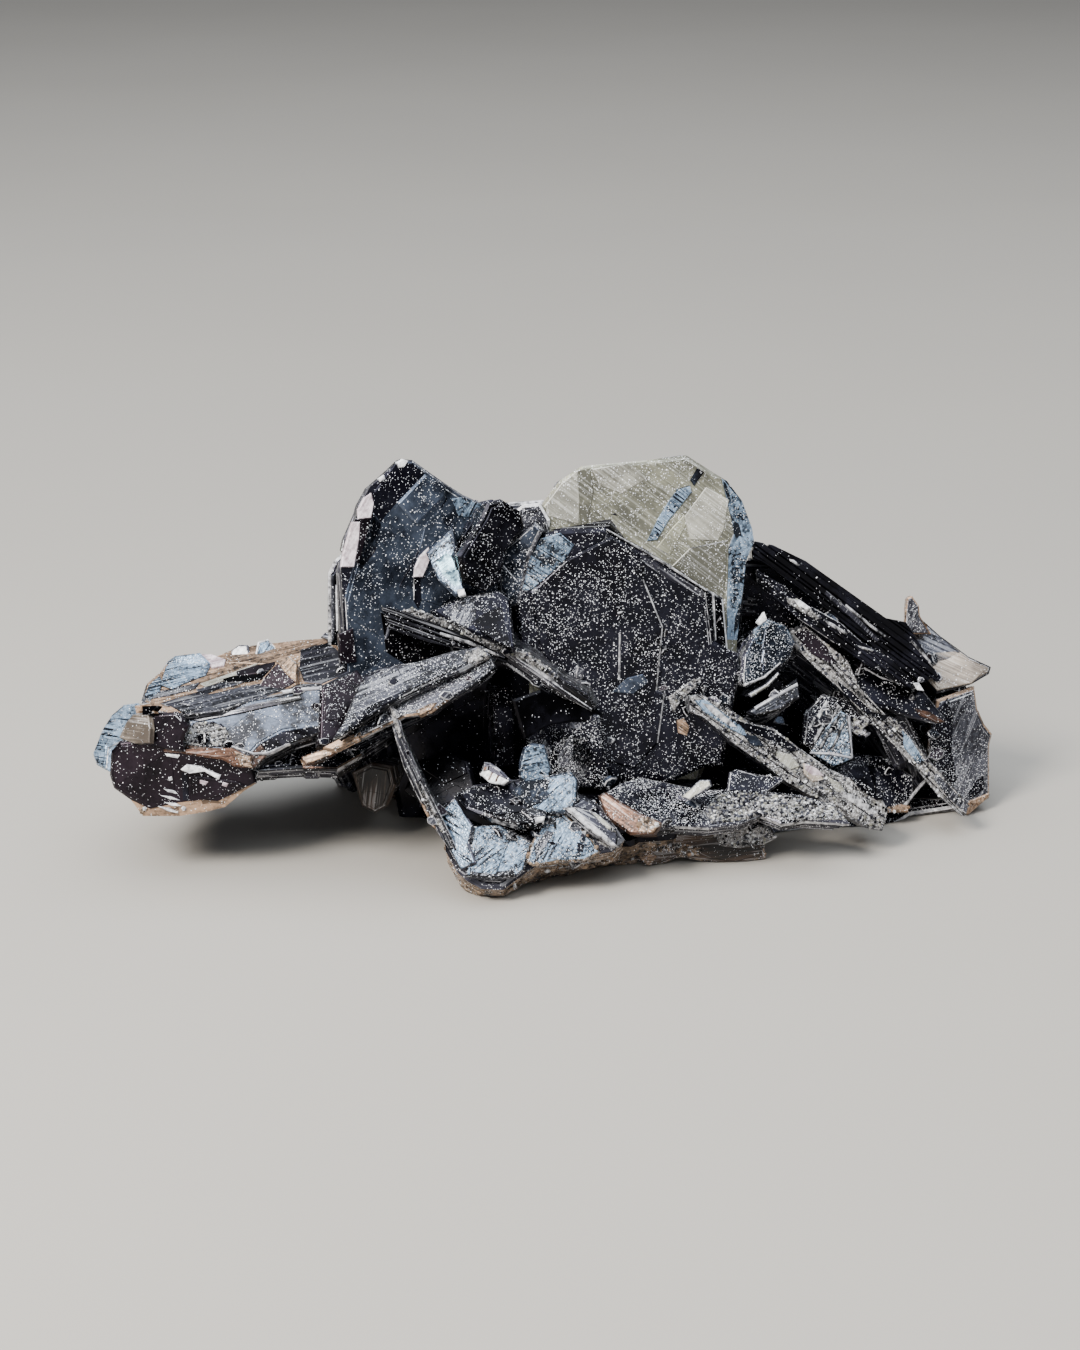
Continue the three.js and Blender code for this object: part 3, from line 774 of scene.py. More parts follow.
@dataclass(frozen=True)
class CrownPlates(Cluster):
    """The broad upright plates in the middle."""

    piece_name: str = "crown_plates"
    back_plate: Crystal = Crystal(
        "537,519 541,505 559,481 582,466 647,460 686,455 714,473 727,481 742,501,2.6 752,528,3 754,541,3.4 "
        "746,562,3 737,640 735,700 690,800 590,800 530,700 524,600",
        at=(640, 600, 4), turn=3, tip=14, thick=8, rim=1.2, ledge=4, face=OLIVE, side=GREY, bevel=OLIVE,
        marked=((BLUE, "7 8 9 10 11"),), grain=-38, steps=0, dust=0.9, worn=0.3, tone=-0.3, facets="""
        CREAM 0.1 1.1: 547,503 561,484 577,471 580,500 579,524 546,516;
        OLIVE 0.08 -0.5: 577,470 590,468 594,492 586,530 581,527 578,500;
        OLIVE 0.05 -1.6: 690,548 728,540 724,600 704,588 672,566;
        CREAM 0.08 0.3: 592,469 628,463 648,478 622,494 600,486;
        CREAM 0.14 0.9: 706,487 729,500 724,530 718,541 690,540 684,517;
        OLIVE 0.1 0.9: 684,515 689,520 676,545 670,556 656,548 672,528;
        BLUE 0.3 1.5: 677,489 690,485 692,492 668,521 657,540 647,541 657,520 668,502;
        STEEL 0.25 -0.2: 690,480 697,468 704,472 694,486""")
    dark_plate: Crystal = Crystal(
        "526,556 543,535 560,530 605,528 643,548 670,565 708,590 714,641 737,655 740,669 735,693 725,745 "
        "723,766 707,766 661,786 620,792 585,740 560,690 520,650 515,600",
        at=(640, 650, -2), turn=2, tip=12, thick=7, rim=1, ledge=3, side=BLACK, pitch=0.8, grain=-35, steps=1,
        dust=1.1, worn=0.1, facets="""
        BLUE 0.12 -0.3: 526,562 541,538 560,533 574,545 565,560 548,577 531,590 517,592;
        EDGE 0.3 0.2: 607,529 643,549 671,566 707,590 706,591 670,568 642,551 606,530;
        LEAVES 0.15 0.7: 606,533 642,553 668,570 704,592 702,598 664,577 638,560 604,541;
        CRUST 0.3: 668,697 690,681 704,676 695,688 683,698 673,713;
        TAN 0.2: 676,720 684,718 690,727 687,736 678,733;
        BLACK 0.14: 672,600 690,612 704,640 700,668 680,672 668,640""")
    left_layer: Crystal = Crystal(
        "530,592 565,560 612,536 638,552 645,563 644,580 663,627 657,690 665,693 658,743 635,769 600,760 "
        "575,700 540,650",
        at=(600, 650, -3.3), turn=2, tip=12, thick=3, rim=0.5, side=BLACK, marked=((EDGE, "5 6 8"),),
        grain=-35, steps=0, dust=1.1, worn=0.0, facets="""
        STEEL 0.12 1.3: 612,692 627,678 643,674 649,682 634,694;
        EDGE 0.2: 619,632 621,632 620,680 618,680;
        EDGE 0.2: 617,612 624,611 622,613 618,614""")
    right_layer: Crystal = Crystal(
        "700,585 723,598 728,650 740,669 735,693 725,750 690,770 690,640",
        at=(712, 650, -0.4), turn=14, tip=12, thick=6, marked=((EDGE, "0 3"), (SPAR, "1")), pitch=0.8,
        grain=80, steps=1, dust=1.2, worn=0.2, facets="""
        SPAR 0.3: 712,594 714,594 716,640 714,641;
        EDGE 0.3: 737,655 740,668 736,692 734,692 737,668""")
    shoulder_slabs: Crystal = Crystal(
        "505,530 517,509 524,504 540,503 550,520 545,570 512,570",
        at=(530, 520, 6), turn=-8, tip=8, thick=6, face=GREY, side=SPAR, bevel=SPAR, pitch=0.6, grain=8)
    shoulder_leaves: Crystal = Crystal(
        "500,552 517,538 535,522 543,530 530,556 519,605 500,610",
        at=(520, 560, 0), turn=-24, tip=12, thick=6, face=STEEL, side=GREY, pitch=0.7, grain=50, steps=3,
        worn=1)
    cross_blade: Crystal = Crystal(
        "489,640 514,648 529,655 550,670 587,694 597,714 573,701 552,698 526,679 500,662",
        at=(550, 684, -8.5), turn=-8, tip=4, thick=9, rim=0.4, face=LEAVES, build=Build.BLADE, pitch=0.75,
        worn=0.3, tone=-0.3, facets="""
        CRUST 0.25: 492,641 514,648 530,655 546,667 560,677 556,680 526,661 500,652;
        EDGE 0.15: 527,664 545,674 560,686 558,688 541,678""")
    leading_slabs: Crystal = Crystal(
        "381,606 403,611 434,619 472,633 512,652 506,664 481,652 430,643 389,629",
        at=(450, 633, -8), turn=6, tip=16, thick=9, rim=0.6, face=LEAVES, side=BLACK, build=Build.BLADE,
        pitch=0.8, dust=0.6, worn=0.12, tone=-0.6, facets="""
        CRUST 0.35: 402,611 412,608 436,617 452,621 472,632 490,640 512,650 510,657 489,648 470,638 446,628
            428,621;
        EDGE 0.25: 440,632 470,641 500,655 499,657 468,644 440,635""")
    speckled_ledge: Crystal = Crystal(
        "463,597 498,590 510,600 516,652 471,633 450,624 430,611",
        at=(470, 612, -6), turn=10, tip=42, thick=6, rim=0.7, bevel=BLACK, dust=1.2, worn=0.0, facets="""
        GREY 0.12 -0.6: 463,598 484,592 500,594 496,606 478,622 466,628 450,620 442,612;
        BLACK 0.2 -0.4: 472,622 486,612 502,606 512,650 498,643 480,632""")
    light_bar: Crystal = Crystal(
        "680,797 700,780 710,780 712,786 690,801",
        at=(696, 789, -17.5), turn=-10, tip=30, thick=3, rim=0.4, face=CREAM, side=GREY)


@dataclass(frozen=True)
class TallPlates(Cluster):
    """The tall plate at the left, with its own leaves and facets."""

    piece_name: str = "tall_plates"
    # Painted shade: the BLACK facet at tone -1 along its lower part stands for the shadow under the leading
    # slabs.
    plate: Crystal = Crystal(
        "357,515,1.6 359,507,2 370,487 382,476 400,459 412,460 443,482 463,495 481,503 500,499 521,512 "
        "524,528 507,552 502,580 508,605 520,650 480,670 430,700 345,700 344,632 341,568,2 348,537,2",
        at=(430, 570, -1), turn=20, tip=14, thick=6, ledge=3, face=STEEL, bevel=BLACK,
        marked=((GREY, "5 6 7"),), grain=54, steps=1, dust=0.65, worn=0.3, tone=0.3, facets="""
        ROSE 0.2 0.9: 358,519 358,510 364,498 371,493 374,503 371,518;
        ROSE 0.2 0.9: 341,567 343,553 352,522 360,522 359,539 354,567;
        BLACK 0.14: 374,492 395,464 401,462 412,463 425,474 398,502 380,523 372,512;
        PURPLE 0.1: 361,520 372,512 382,524 376,552 360,572 356,560;
        SPAR 0.3: 396,463 402,459 408,461 404,467 398,468;
        SPAR 0.3: 378,479 384,475 385,479 380,482;
        BLUE 0.25 -0.4: 451,499 463,497 481,504 484,512 476,518 458,517;
        BLACK: 446,497 448,498 400,588 398,587;
        STEEL 0.2: 425,524 448,500 456,504 458,520 434,548 418,552;
        ROSE 0.55: 419,556 428,547 431,556 422,577 413,577 414,567;
        BLACK 0.3: 413,578 420,577 421,600 418,609 413,600;
        STEEL 0.22 1.4: 422,580 430,572 442,584 454,596 440,606 421,600;
        PURPLE 0.6 1.6: 338,634 352,628 356,662 340,664;
        GREY 0.5: 391,610 394,606 388,636 384,640;
        BLACK 0.16 -1: 380,612 404,620 440,640 484,660 455,670 420,674 386,652""")
    back_leaves: Crystal = Crystal(
        "328,650 328,573 334,561 345,550 351,527 357,515 380,500 430,540 430,700 335,700",
        at=(345, 600, 1.5), turn=20, tip=14, thick=4.5, bevel=EDGE, pitch=0.7, grain=88, worn=0.5, facets="""
        GREY 0.4: 331,575 334,574 334,640 331,642;
        SPAR 0.5: 335,585 338,584 338,630 336,631""")
    side_leaf: Crystal = Crystal(
        "340,575 352,560 380,560 385,690 342,695",
        at=(345, 600, -4.6), turn=24, tip=14, thick=4, rim=0.5, face=PURPLE, grain=86, dust=0.8, worn=0.3,
        facets="""
        SPAR 0.2: 342,574 348,573 349,577 342,577""")
    striated_block: Crystal = Crystal(
        "481,517 487,503 502,500 521,512 524,528 506,552 500,582 485,592 462,582 457,556",
        at=(492, 545, -2.4), turn=34, tip=10, thick=6, side=BLACK, bevel=BLACK, pitch=0.7, grain=52, steps=3,
        dust=0.8, worn=0.05, facets="""
        EDGE 0.15: 489,529 500,512 501,513 491,530 476,551 475,550;
        EDGE 0.15: 480,560 497,548 512,534 512,535 498,550 481,561""")
    # Its layered pale blue and cyan facets, lightest in the small middle one, paint a bright highlight on the
    # face.
    bright_facet: Crystal = Crystal(
        "454,523 459,556 465,592 455,597 438,580 426,553",
        at=(448, 560, -3), turn=-6, tip=32, thick=5, rim=0.5, face=STEEL, side=STEEL, grain=38, steps=1,
        dust=0.4, worn=0.0, facets="""
        BLUE 0.05 -0.3: 450,534 456,556 463,588 455,593 439,579 428,556 438,546;
        BLUE 0.07 0.8: 447,545 456,557 462,586 455,591 440,578 431,560;
        CYAN 0.09 0.2: 446,552 456,557 459,574 461,585 455,588 442,575 435,562;
        CYAN 0.11 1.6: 444,557 453,558 456,566 452,573 444,570 438,564;
        SPAR 0.3: 457,590 464,589 466,595 459,597""")
    parallelogram: Crystal = Crystal(
        "397,503 425,474 446,487 445,497 418,524 412,520",
        at=(420, 500, 0.2), turn=16, tip=18, thick=4, rim=0.5, face=STEEL, side=STEEL, grain=44, steps=0,
        dust=0.7, worn=0.0, tone=0.7)
    lower_layer: Crystal = Crystal(
        "362,545 395,515 414,560 416,610 395,612 385,660 352,660 352,585",
        at=(385, 580, -3.4), turn=20, tip=14, thick=3, rim=0.5, face=STEEL, side=STEEL, steps=1, dust=1.2,
        worn=0.2)


@dataclass(frozen=True)
class LeftWing(Cluster):
    """The books of lying plates at the left."""

    piece_name: str = "left_wing"
    lower_block: Crystal = Crystal(
        "111,752 120,741 151,737 183,750 252,758 257,783 244,791,2 225,807,2 205,812,2.2 180,816,2.2 "
        "143,816,1.8 131,800 114,788 110,776",
        at=(160, 790, -20), turn=-4, tip=6, thick=22, rim=0.7, back_rim=2.5, ledge=9, face=PURPLE,
        side=PURPLE, marked=((TAN, "5 6 7 8 9 10"),), grain=4, dust=0.4, worn=0.1, facets="""
        SPAR 0.5: 181,769 187,764 200,766 221,775 219,779 205,771 190,773;
        SPAR 0.35: 165,753 180,755 178,758 167,756;
        BLACK 0.1: 182,772 188,774 189,800 183,800;
        PURPLE 0.3: 191,775 235,781 247,786 206,799 191,801;
        SPAR 0.2: 168,777 172,776 173,780 169,781;
        SPAR 0.2: 163,788 174,790 178,794 168,792;
        SPAR 0.25: 160,795 170,796 180,800 170,799;
        SPAR 0.2: 164,802 176,803 181,806 172,806;
        SPAR 0.25: 158,806 170,808 178,813 168,811;
        ROSE 0.4: 223,781 229,783 227,787 222,785;
        ROSE 0.4: 200,779 209,781 206,785 200,783;
        MAUVE 0.3: 161,742 180,747 180,753 164,752""")
    end_facet: Crystal = Crystal(
        "93,754 103,729 112,715 124,705 138,703 152,716 150,738 128,742 112,750 110,772 97,765",
        at=(118, 738, -17), turn=-40, tip=26, thick=10, face=BLUE, side=BLUE, grain=8, steps=3, dust=0.3,
        worn=0.2, facets="""
        SAND 0.5 -0.2: 121,738 128,723 135,715 150,715 152,729 151,743 137,744;
        TAN 0.45: 136,706 152,703 156,713 138,715;
        BLACK 0.5 -0.5: 144,706 160,706 151,716 144,716""")
    thin_slab: Crystal = Crystal(
        "185,758 253,771 303,768 337,769 362,755 400,730 400,690 260,700 190,730",
        at=(280, 762, -17), turn=0, tip=74, thick=2.6, rim=0.5, bevel=LEAVES,
        marked=((MAUVE, "0 2"), (LEAVES, "1"), (TAN, "3")), pitch=0.7, worn=0.3, facets="""
        TAN 0.2: 300,760 322,749 333,754 303,766""")
    upper_block: Crystal = Crystal(
        "153,713 177,712 184,719 189,726 183,741 184,752 151,748 147,736",
        at=(168, 730, -19.5), turn=-8, tip=12, thick=15, face=PURPLE, side=PURPLE, dust=0.4, worn=0.2)
    long_face: Crystal = Crystal(
        "180,716 220,711 250,701 322,687 324,729 310,736,1.8 288,743,1.8 268,754,1.8 253,769,1.8 228,763,1.8 "
        "182,756 184,735",
        at=(250, 735, -18), turn=-8, tip=42, thick=10, rim=0.7, ledge=4, face=STEEL, bevel=STEEL,
        marked=((MAUVE, "7 8 9"), (BLACK, "5 6")), grain=14, steps=1, dust=0.8, worn=0.3, tone=-0.9,
        facets="""
        CRUST 0.2: 184,733 196,722 214,722 226,728 232,738 228,747 205,747 186,745;
        LEAVES 0.2: 190,720 222,714 250,705 300,694 302,700 240,714 200,722;
        SPAR 0.3: 281,691 298,688 320,687 320,690 298,692 284,694;
        SPAR 0.3: 232,746 254,753 268,752 290,743 290,744 268,754 252,755 232,748""")
    warm_band: Crystal = Crystal(
        "178,750 207,748 232,748 251,757 252,768 235,767 223,760 196,756 180,753",
        at=(215, 757, -20.9), turn=-8, tip=24, thick=3, rim=0.4, face=MAUVE, side=MAUVE, grain=8, steps=0,
        dust=0.5, worn=0.1, tone=0.5, facets="""
        TAN 0.12 -0.2: 234,751 251,757 252,768 240,766""")
    striated_top: Crystal = Crystal(
        "141,702 146,685 161,672 167,663 185,655 217,657 239,648 300,641 328,639 350,655 357,672 322,689 "
        "250,703 220,713 180,717 155,714",
        at=(200, 700, -12), turn=-28, tip=76, thick=7, ledge=3, face=TAN, side=GREY, pitch=0.6, grain=43,
        steps=1, dust=0.5, worn=0.3, facets="""
        LEAVES 0.12: 300,650 328,643 346,656 354,670 322,684 304,682 299,668;
        GREY 0.1 -0.5: 170,706 200,696 240,688 262,684 300,684 322,684 322,687 280,692 250,701 220,711
            186,715;
        GREY: 196,690 230,680 250,675 262,676 240,684 200,694;
        PURPLE 0.2 0.5: 236,672 256,666 276,662 274,668 256,674 236,677;
        BLACK 0.25 -1: 223,680 232,677 256,675 276,668 267,679 243,683 228,684;
        BLUE 0.35: 161,686 166,668 176,659 194,655 206,656 212,664 206,676 190,682 172,690;
        BLUE 0.3 -0.4: 143,700 149,686 160,677 163,684 160,692 150,701;
        GREY 0.2 0.8: 178,704 230,690 262,684 232,694 190,706;
        LEAVES 0.22: 160,704 200,692 226,686 204,696 168,707;
        CREAM 0.12: 200,684 226,675 262,662 232,677 206,687;
        GREY 0.2 -0.3: 150,694 176,688 200,683 196,689 170,696 152,699;
        ROSE 0.4: 200,656 212,656 226,661 224,667 212,669 206,662""")
    pale_crystal: Crystal = Crystal(
        "156,681 167,662 175,656 200,653 211,664 190,684",
        at=(185, 670, -3), turn=-26, tip=46, thick=5, rim=0.6, face=BLUE, side=BLUE, grain=30, steps=3,
        dust=0.5)
    back_bud: Crystal = Crystal(
        "229,661 232,650 239,645 248,645 252,662",
        at=(240, 655, -1), turn=-10, tip=40, thick=4, rim=0.5, face=SPAR, side=GREY)
    blue_bud: Crystal = Crystal(
        "254,660 258,642 268,639 276,648 277,660",
        at=(266, 652, -1), turn=15, tip=40, thick=4, rim=0.5, face=BLUE, side=SPAR)
    wedge: Crystal = Crystal(
        "258,688 264,677 276,664 290,656 297,664 297,684 290,688 270,697 260,697",
        at=(280, 680, -11), turn=-25, tip=40, thick=5, rim=0.5, face=PURPLE, side=TAN, facets="""
        TAN 0.12 0.3: 276,661 289,656 297,664 296,683 286,674""")
    joint_facet: Crystal = Crystal(
        "320,688 357,670 372,690 350,728 338,742 318,744",
        at=(340, 705, -16.5), turn=24, tip=40, thick=9, rim=0.7, face=PURPLE, side=PURPLE, grain=20, dust=1.2,
        worn=0.0)
    right_upper_leaf: Crystal = Crystal(
        "332,740 343,723 358,687 366,678 395,665 417,662 450,652 484,646 491,656 460,673 420,691 388,706 "
        "345,734",
        at=(420, 677, -19), turn=-18, tip=56, thick=2.4, rim=0.6, face=GREY, pitch=0.7, grain=38, worn=0.3,
        tone=-0.7, facets="""
        CRUST 0.25: 466,652 484,648 489,656 474,664 462,662;
        BLACK 0.12: 348,727 368,706 400,692 433,676 440,678 402,697 372,711 352,730""")
    right_lower_leaf: Crystal = Crystal(
        "338,742 388,706 420,690 450,675 491,655 497,668 480,683 450,700 432,713 405,717 362,738 336,752",
        at=(430, 695, -20), turn=-18, tip=50, thick=2.6, rim=0.6, face=GREY, marked=((TAN, "7 8 9 10"),),
        pitch=0.7, grain=38, dust=1.1, worn=0.3, tone=-0.4, facets="""
        TAN 0.25: 416,711 430,704 437,703 432,710 420,716;
        TAN 0.2: 323,748 338,740 361,732 360,739 336,751""")
    warm_chip: Crystal = Crystal(
        "301,757 330,746 338,752 330,757 306,766",
        at=(318, 757, -21.6), turn=-8, tip=35, thick=3, rim=0.4, face=TAN, side=MAUVE, grain=20, tone=-0.5)
    second_chip: Crystal = Crystal(
        "323,747 338,739 361,730 360,741 338,752",
        at=(342, 742, -22), turn=-8, tip=35, thick=3, rim=0.4, face=TAN, side=MAUVE, grain=20, tone=-0.5)
    blade_root: Crystal = Crystal(
        "330,690 380,668 440,658 478,654 455,678 400,705 350,738 325,745",
        at=(390, 690, -12), turn=-6, tip=40, thick=12, rim=1, dust=0.6)
    # Painted shade and reflection: tone -0.9 darkens it for the shade under the wing, and its brown stands in
    # part for the table's warm reflection.
    fibrous_crystal: Crystal = Crystal(
        "352,772 372,762 392,766 396,784 388,806 375,813 362,806",
        at=(378, 788, -8), turn=-12, tip=10, thick=12, rim=0.7, face=BROWN, side=BROWN, grain=85, steps=5,
        dust=0.2, worn=0.1, tone=-0.9)


@dataclass(frozen=True)
class FrontFoot(Cluster):
    """The foot at the front, with the thin blade that leans on it."""

    piece_name: str = "front_foot"
    leaning_blade: Crystal = Crystal(
        "388,703 398,711 405,738 420,773 446,825 460,854 464,870 437,832 417,796 403,766 391,722",
        at=(420, 785, -25), turn=2, tip=18, thick=12, rim=0.4, face=LEAVES, build=Build.BLADE, pitch=0.55,
        dust=0.7, worn=1.0, facets="""
        CRUST 0.2: 390,706 396,712 402,736 399,740 393,722;
        CRUST 0.2: 414,780 420,780 436,812 446,832 442,834 424,804;
        TAN 0.35: 420,802 425,806 436,829 432,826""")
    foot_body: Crystal = Crystal(
        "441,812 446,852 457,872 467,881 481,889 503,890 526,873 541,863 578,858 612,852 625,840 600,805 "
        "545,775 474,785",
        at=(500, 870, -28), turn=2, tip=46, thick=12, rim=1.4, ledge=5, face=LEAVES, side=ROCK, bevel=LEAVES,
        pitch=0.7, grain=30, dust=1.2, worn=0.2, tone=0.3, facets="""
        GREY 0.1: 444,812 452,800 474,790 520,784 548,784 560,800 530,812 470,810;
        CRUST 0.1: 578,820 600,816 618,838 608,848 590,838""")
    left_facet: Crystal = Crystal(
        "441,811 456,798 473,826 469,843 476,863 461,871 448,846",
        at=(458, 835, -26.5), turn=-34, tip=34, thick=6, rim=0.5, face=BLUE, grain=-14, worn=0.1)
    front_facet: Crystal = Crystal(
        "474,826 500,824 532,842 527,857 524,871 517,877 490,880 465,876",
        at=(500, 852, -28), turn=8, tip=40, thick=5, rim=0.6, face=BLUE, side=GREY, grain=34, dust=1.6,
        worn=0.1, tone=-0.8, facets="""
        GREY 0.12: 480,829 498,828 510,836 498,842 482,838;
        GREY 0.15: 470,868 490,872 514,870 516,875 490,878 470,875""")
    speckled_plate: Crystal = Crystal(
        "454,796 467,788 492,786 514,781 528,800 547,812 549,819 540,824 518,825 491,818 466,809",
        at=(500, 805, -24), turn=4, tip=66, thick=3, rim=0.5, side=BLACK, bevel=BLACK, grain=-20, worn=0.1,
        tone=-0.3, facets="""
        SPAR 0.3: 534,818 545,817 544,821 536,823;
        GREY 0.15: 514,786 526,801 545,816 536,818 516,806 508,792""")
    # Painted shade: the speckled plate's lower side, kept black with tone -1, no dust and no wear, for the
    # black shadow band under it.
    plate_edge: Crystal = Crystal(
        "455,798 467,809 491,818 518,825 540,824 549,819 551,826 545,834 520,835 490,829 468,820",
        at=(500, 822, -25.2), turn=4, tip=0, thick=3, rim=0.3, side=BLACK, steps=0, dust=0.0, worn=0.0,
        tone=-1)
    striped_crystal: Crystal = Crystal(
        "480,775 484,762 491,763 501,770 512,781 502,786 488,782",
        at=(494, 775, -21), turn=-20, tip=30, thick=5, rim=0.5, facets="""
        SPAR 0.3: 480,774 486,769 509,781 503,785 490,783;
        MAUVE 0.5: 484,768 489,766 488,771 484,772;
        MAUVE 0.4: 488,780 492,772 494,773 490,781;
        MAUVE 0.4: 495,782 498,775 500,776 497,783""")
    blue_crystal: Crystal = Crystal(
        "519,778 519,762 523,748 532,743 545,745 552,770 548,784 530,788",
        at=(535, 764, -19), turn=8, tip=22, thick=6, rim=0.7, face=BLUE, side=STEEL, grain=12, dust=1.2,
        worn=0.2)
    striated_facet: Crystal = Crystal(
        "512,792 520,782 548,776 571,771 578,780 577,802 570,813 548,814 530,810",
        at=(556, 790, -22.5), turn=6, tip=38, thick=6, rim=0.6, face=BLUE, side=STEEL, grain=42, dust=1.4,
        worn=0.3, facets="""
        STEEL 0.15 -0.6: 513,791 521,783 546,778 556,786 546,800 530,808""")
    pale_blade: Crystal = Crystal(
        "562,808 574,806 596,812 616,828 618,838 616,848 590,832",
        at=(592, 824, -25.5), turn=12, tip=40, thick=6, rim=0.4, face=LEAVES, side=BLACK, grain=-35, dust=1.4,
        worn=0.6, facets="""
        EDGE 0.3 0.8: 566,808 574,808 586,819 602,832 618,847 612,846 588,829;
        CREAM 0.2: 590,812 600,816 616,832 606,828""")
    lower_facet: Crystal = Crystal(
        "546,816 563,813 586,833 601,852 584,861 560,862 533,866 526,862 531,844",
        at=(560, 840, -26), turn=6, tip=36, thick=6, rim=0.6, face=BLUE, side=ROCK, dust=2.0, worn=0.2,
        tone=-0.4, facets="""
        BLUE 0.12: 550,846 560,834 572,840 574,852 560,860 548,858;
        BLUE 0.14 -0.5: 536,846 548,832 556,834 550,846 540,856;
        BLUE 0.14 0.4: 566,828 580,832 592,842 584,846 572,840;
        GREY 0.15: 534,846 546,830 556,832 546,846 536,860;
        LEAVES 0.14: 550,818 562,816 576,828 568,834 554,830;
        BLACK 0.3: 577,842 584,845 583,853 577,851""")


@dataclass(frozen=True)
class HollowCrystals(Cluster):
    """The crystals that line the hollow behind the foot."""

    piece_name: str = "hollow_crystals"
    back_wall: Crystal = Crystal(
        "395,640 600,640 620,800 560,830 400,820 385,740",
        at=(500, 730, 4), turn=0, tip=2, thick=10, rim=1.5, side=BLACK, steps=4, dust=0.15, worn=0.0)
    dark_column: Crystal = Crystal(
        "493,690 513,688 516,765 495,770",
        at=(504, 730, -3), turn=18, tip=6, thick=9, rim=0.6, side=BLACK, grain=88, dust=0.6, worn=0.0)
    speckled_plate: Crystal = Crystal(
        "524,712 560,700 600,716 610,790 560,785 528,755",
        at=(560, 740, -8), turn=-8, tip=12, thick=7, side=BLACK, steps=1, dust=2.6, worn=0.0, facets="""
        GREY 0.1 -0.2: 556,744 574,734 590,742 594,762 578,790 560,780;
        GREY 0.08 -0.4: 530,740 545,736 552,752 540,764""")
    # Painted shade: tone -1 and almost no dust keep this plate as black as the shade at the top of the
    # hollow.
    shadowed_plate: Crystal = Crystal(
        "512,700 540,690 604,712 600,722 572,722 548,726 524,740",
        at=(560, 714, -9.6), turn=22, tip=14, thick=4, rim=0.5, side=BLACK, steps=0, dust=0.1, worn=0.0,
        tone=-1)
    # Painted shade: tone -1, little dust and no worn edges keep this face as dark as the hollow's shade.
    low_face: Crystal = Crystal(
        "404,790 418,764 448,752 470,760 480,800 440,812",
        at=(440, 780, -12), turn=-8, tip=40, thick=8, rim=1, side=BLACK, dust=0.2, worn=0.0, tone=-1)


@dataclass(frozen=True)
class BaseSlabs(Cluster):
    """The slabs that lie along the base at the right of the foot."""

    piece_name: str = "base_slabs"
    warm_end: Crystal = Crystal(
        "598,796 606,792 622,803 644,815 662,823 654,834 630,835 609,820 601,806",
        at=(625, 815, -22), turn=-14, tip=34, thick=8, rim=0.6, face=MAUVE, side=MAUVE, grain=-30, steps=0,
        dust=0.9, worn=0.0, tone=-0.3, facets="""
        TAN 0.12 -0.3: 640,817 650,818 661,824 652,833 638,832""")
    upper_slab: Crystal = Crystal(
        "604,794 620,784 640,778 700,790 740,790 800,795 835,806 850,824 805,821 781,824 761,816 741,824 "
        "709,828 675,826 654,830",
        at=(700, 810, -16.5), turn=8, tip=72, thick=2.6, rim=0.6, pitch=0.6, grain=6, dust=3, worn=0.2,
        facets="""
        CRUST 0.2: 716,796 740,792 800,797 832,806 845,820 805,819 781,820 761,814 741,820 712,824
            704,812""")
    lower_slab: Crystal = Crystal(
        "560,850 610,826 650,826 730,824 772,832 764,846 766,858 735,866 701,861 680,857 652,868 632,858 "
        "590,866",
        at=(700, 859, -14.5), turn=6, tip=14, thick=12, face=BROWN, side=ROCK, bevel=ROCK, grain=4, steps=3,
        dust=1.6, worn=0.3, tone=-0.4, facets="""
        BLACK 0.1: 652,829 690,828 728,831 726,841 690,840 655,836;
        CRUST 0.3 0.6: 712,834 722,826 738,822 770,828 776,838 764,844 740,848 722,846;
        ROCK 0.2: 612,832 650,836 700,846 700,856 652,852 612,846;
        TAN 0.4: 632,849 650,851 657,856 650,866 644,864""")
    dark_crystal: Crystal = Crystal(
        "726,794 729,772 738,769 755,774 789,777 762,797",
        at=(750, 783, -11), turn=4, tip=40, thick=5, rim=0.5, dust=1.4, worn=0.9)
    right_end: Crystal = Crystal(
        "755,800 830,790 905,798 952,800 956,808 910,815 884,832 850,832 805,830 768,838",
        at=(840, 825, 0), turn=12, tip=60, thick=9, side=GREY, bevel=SPAR, dust=1.4, worn=0.8)


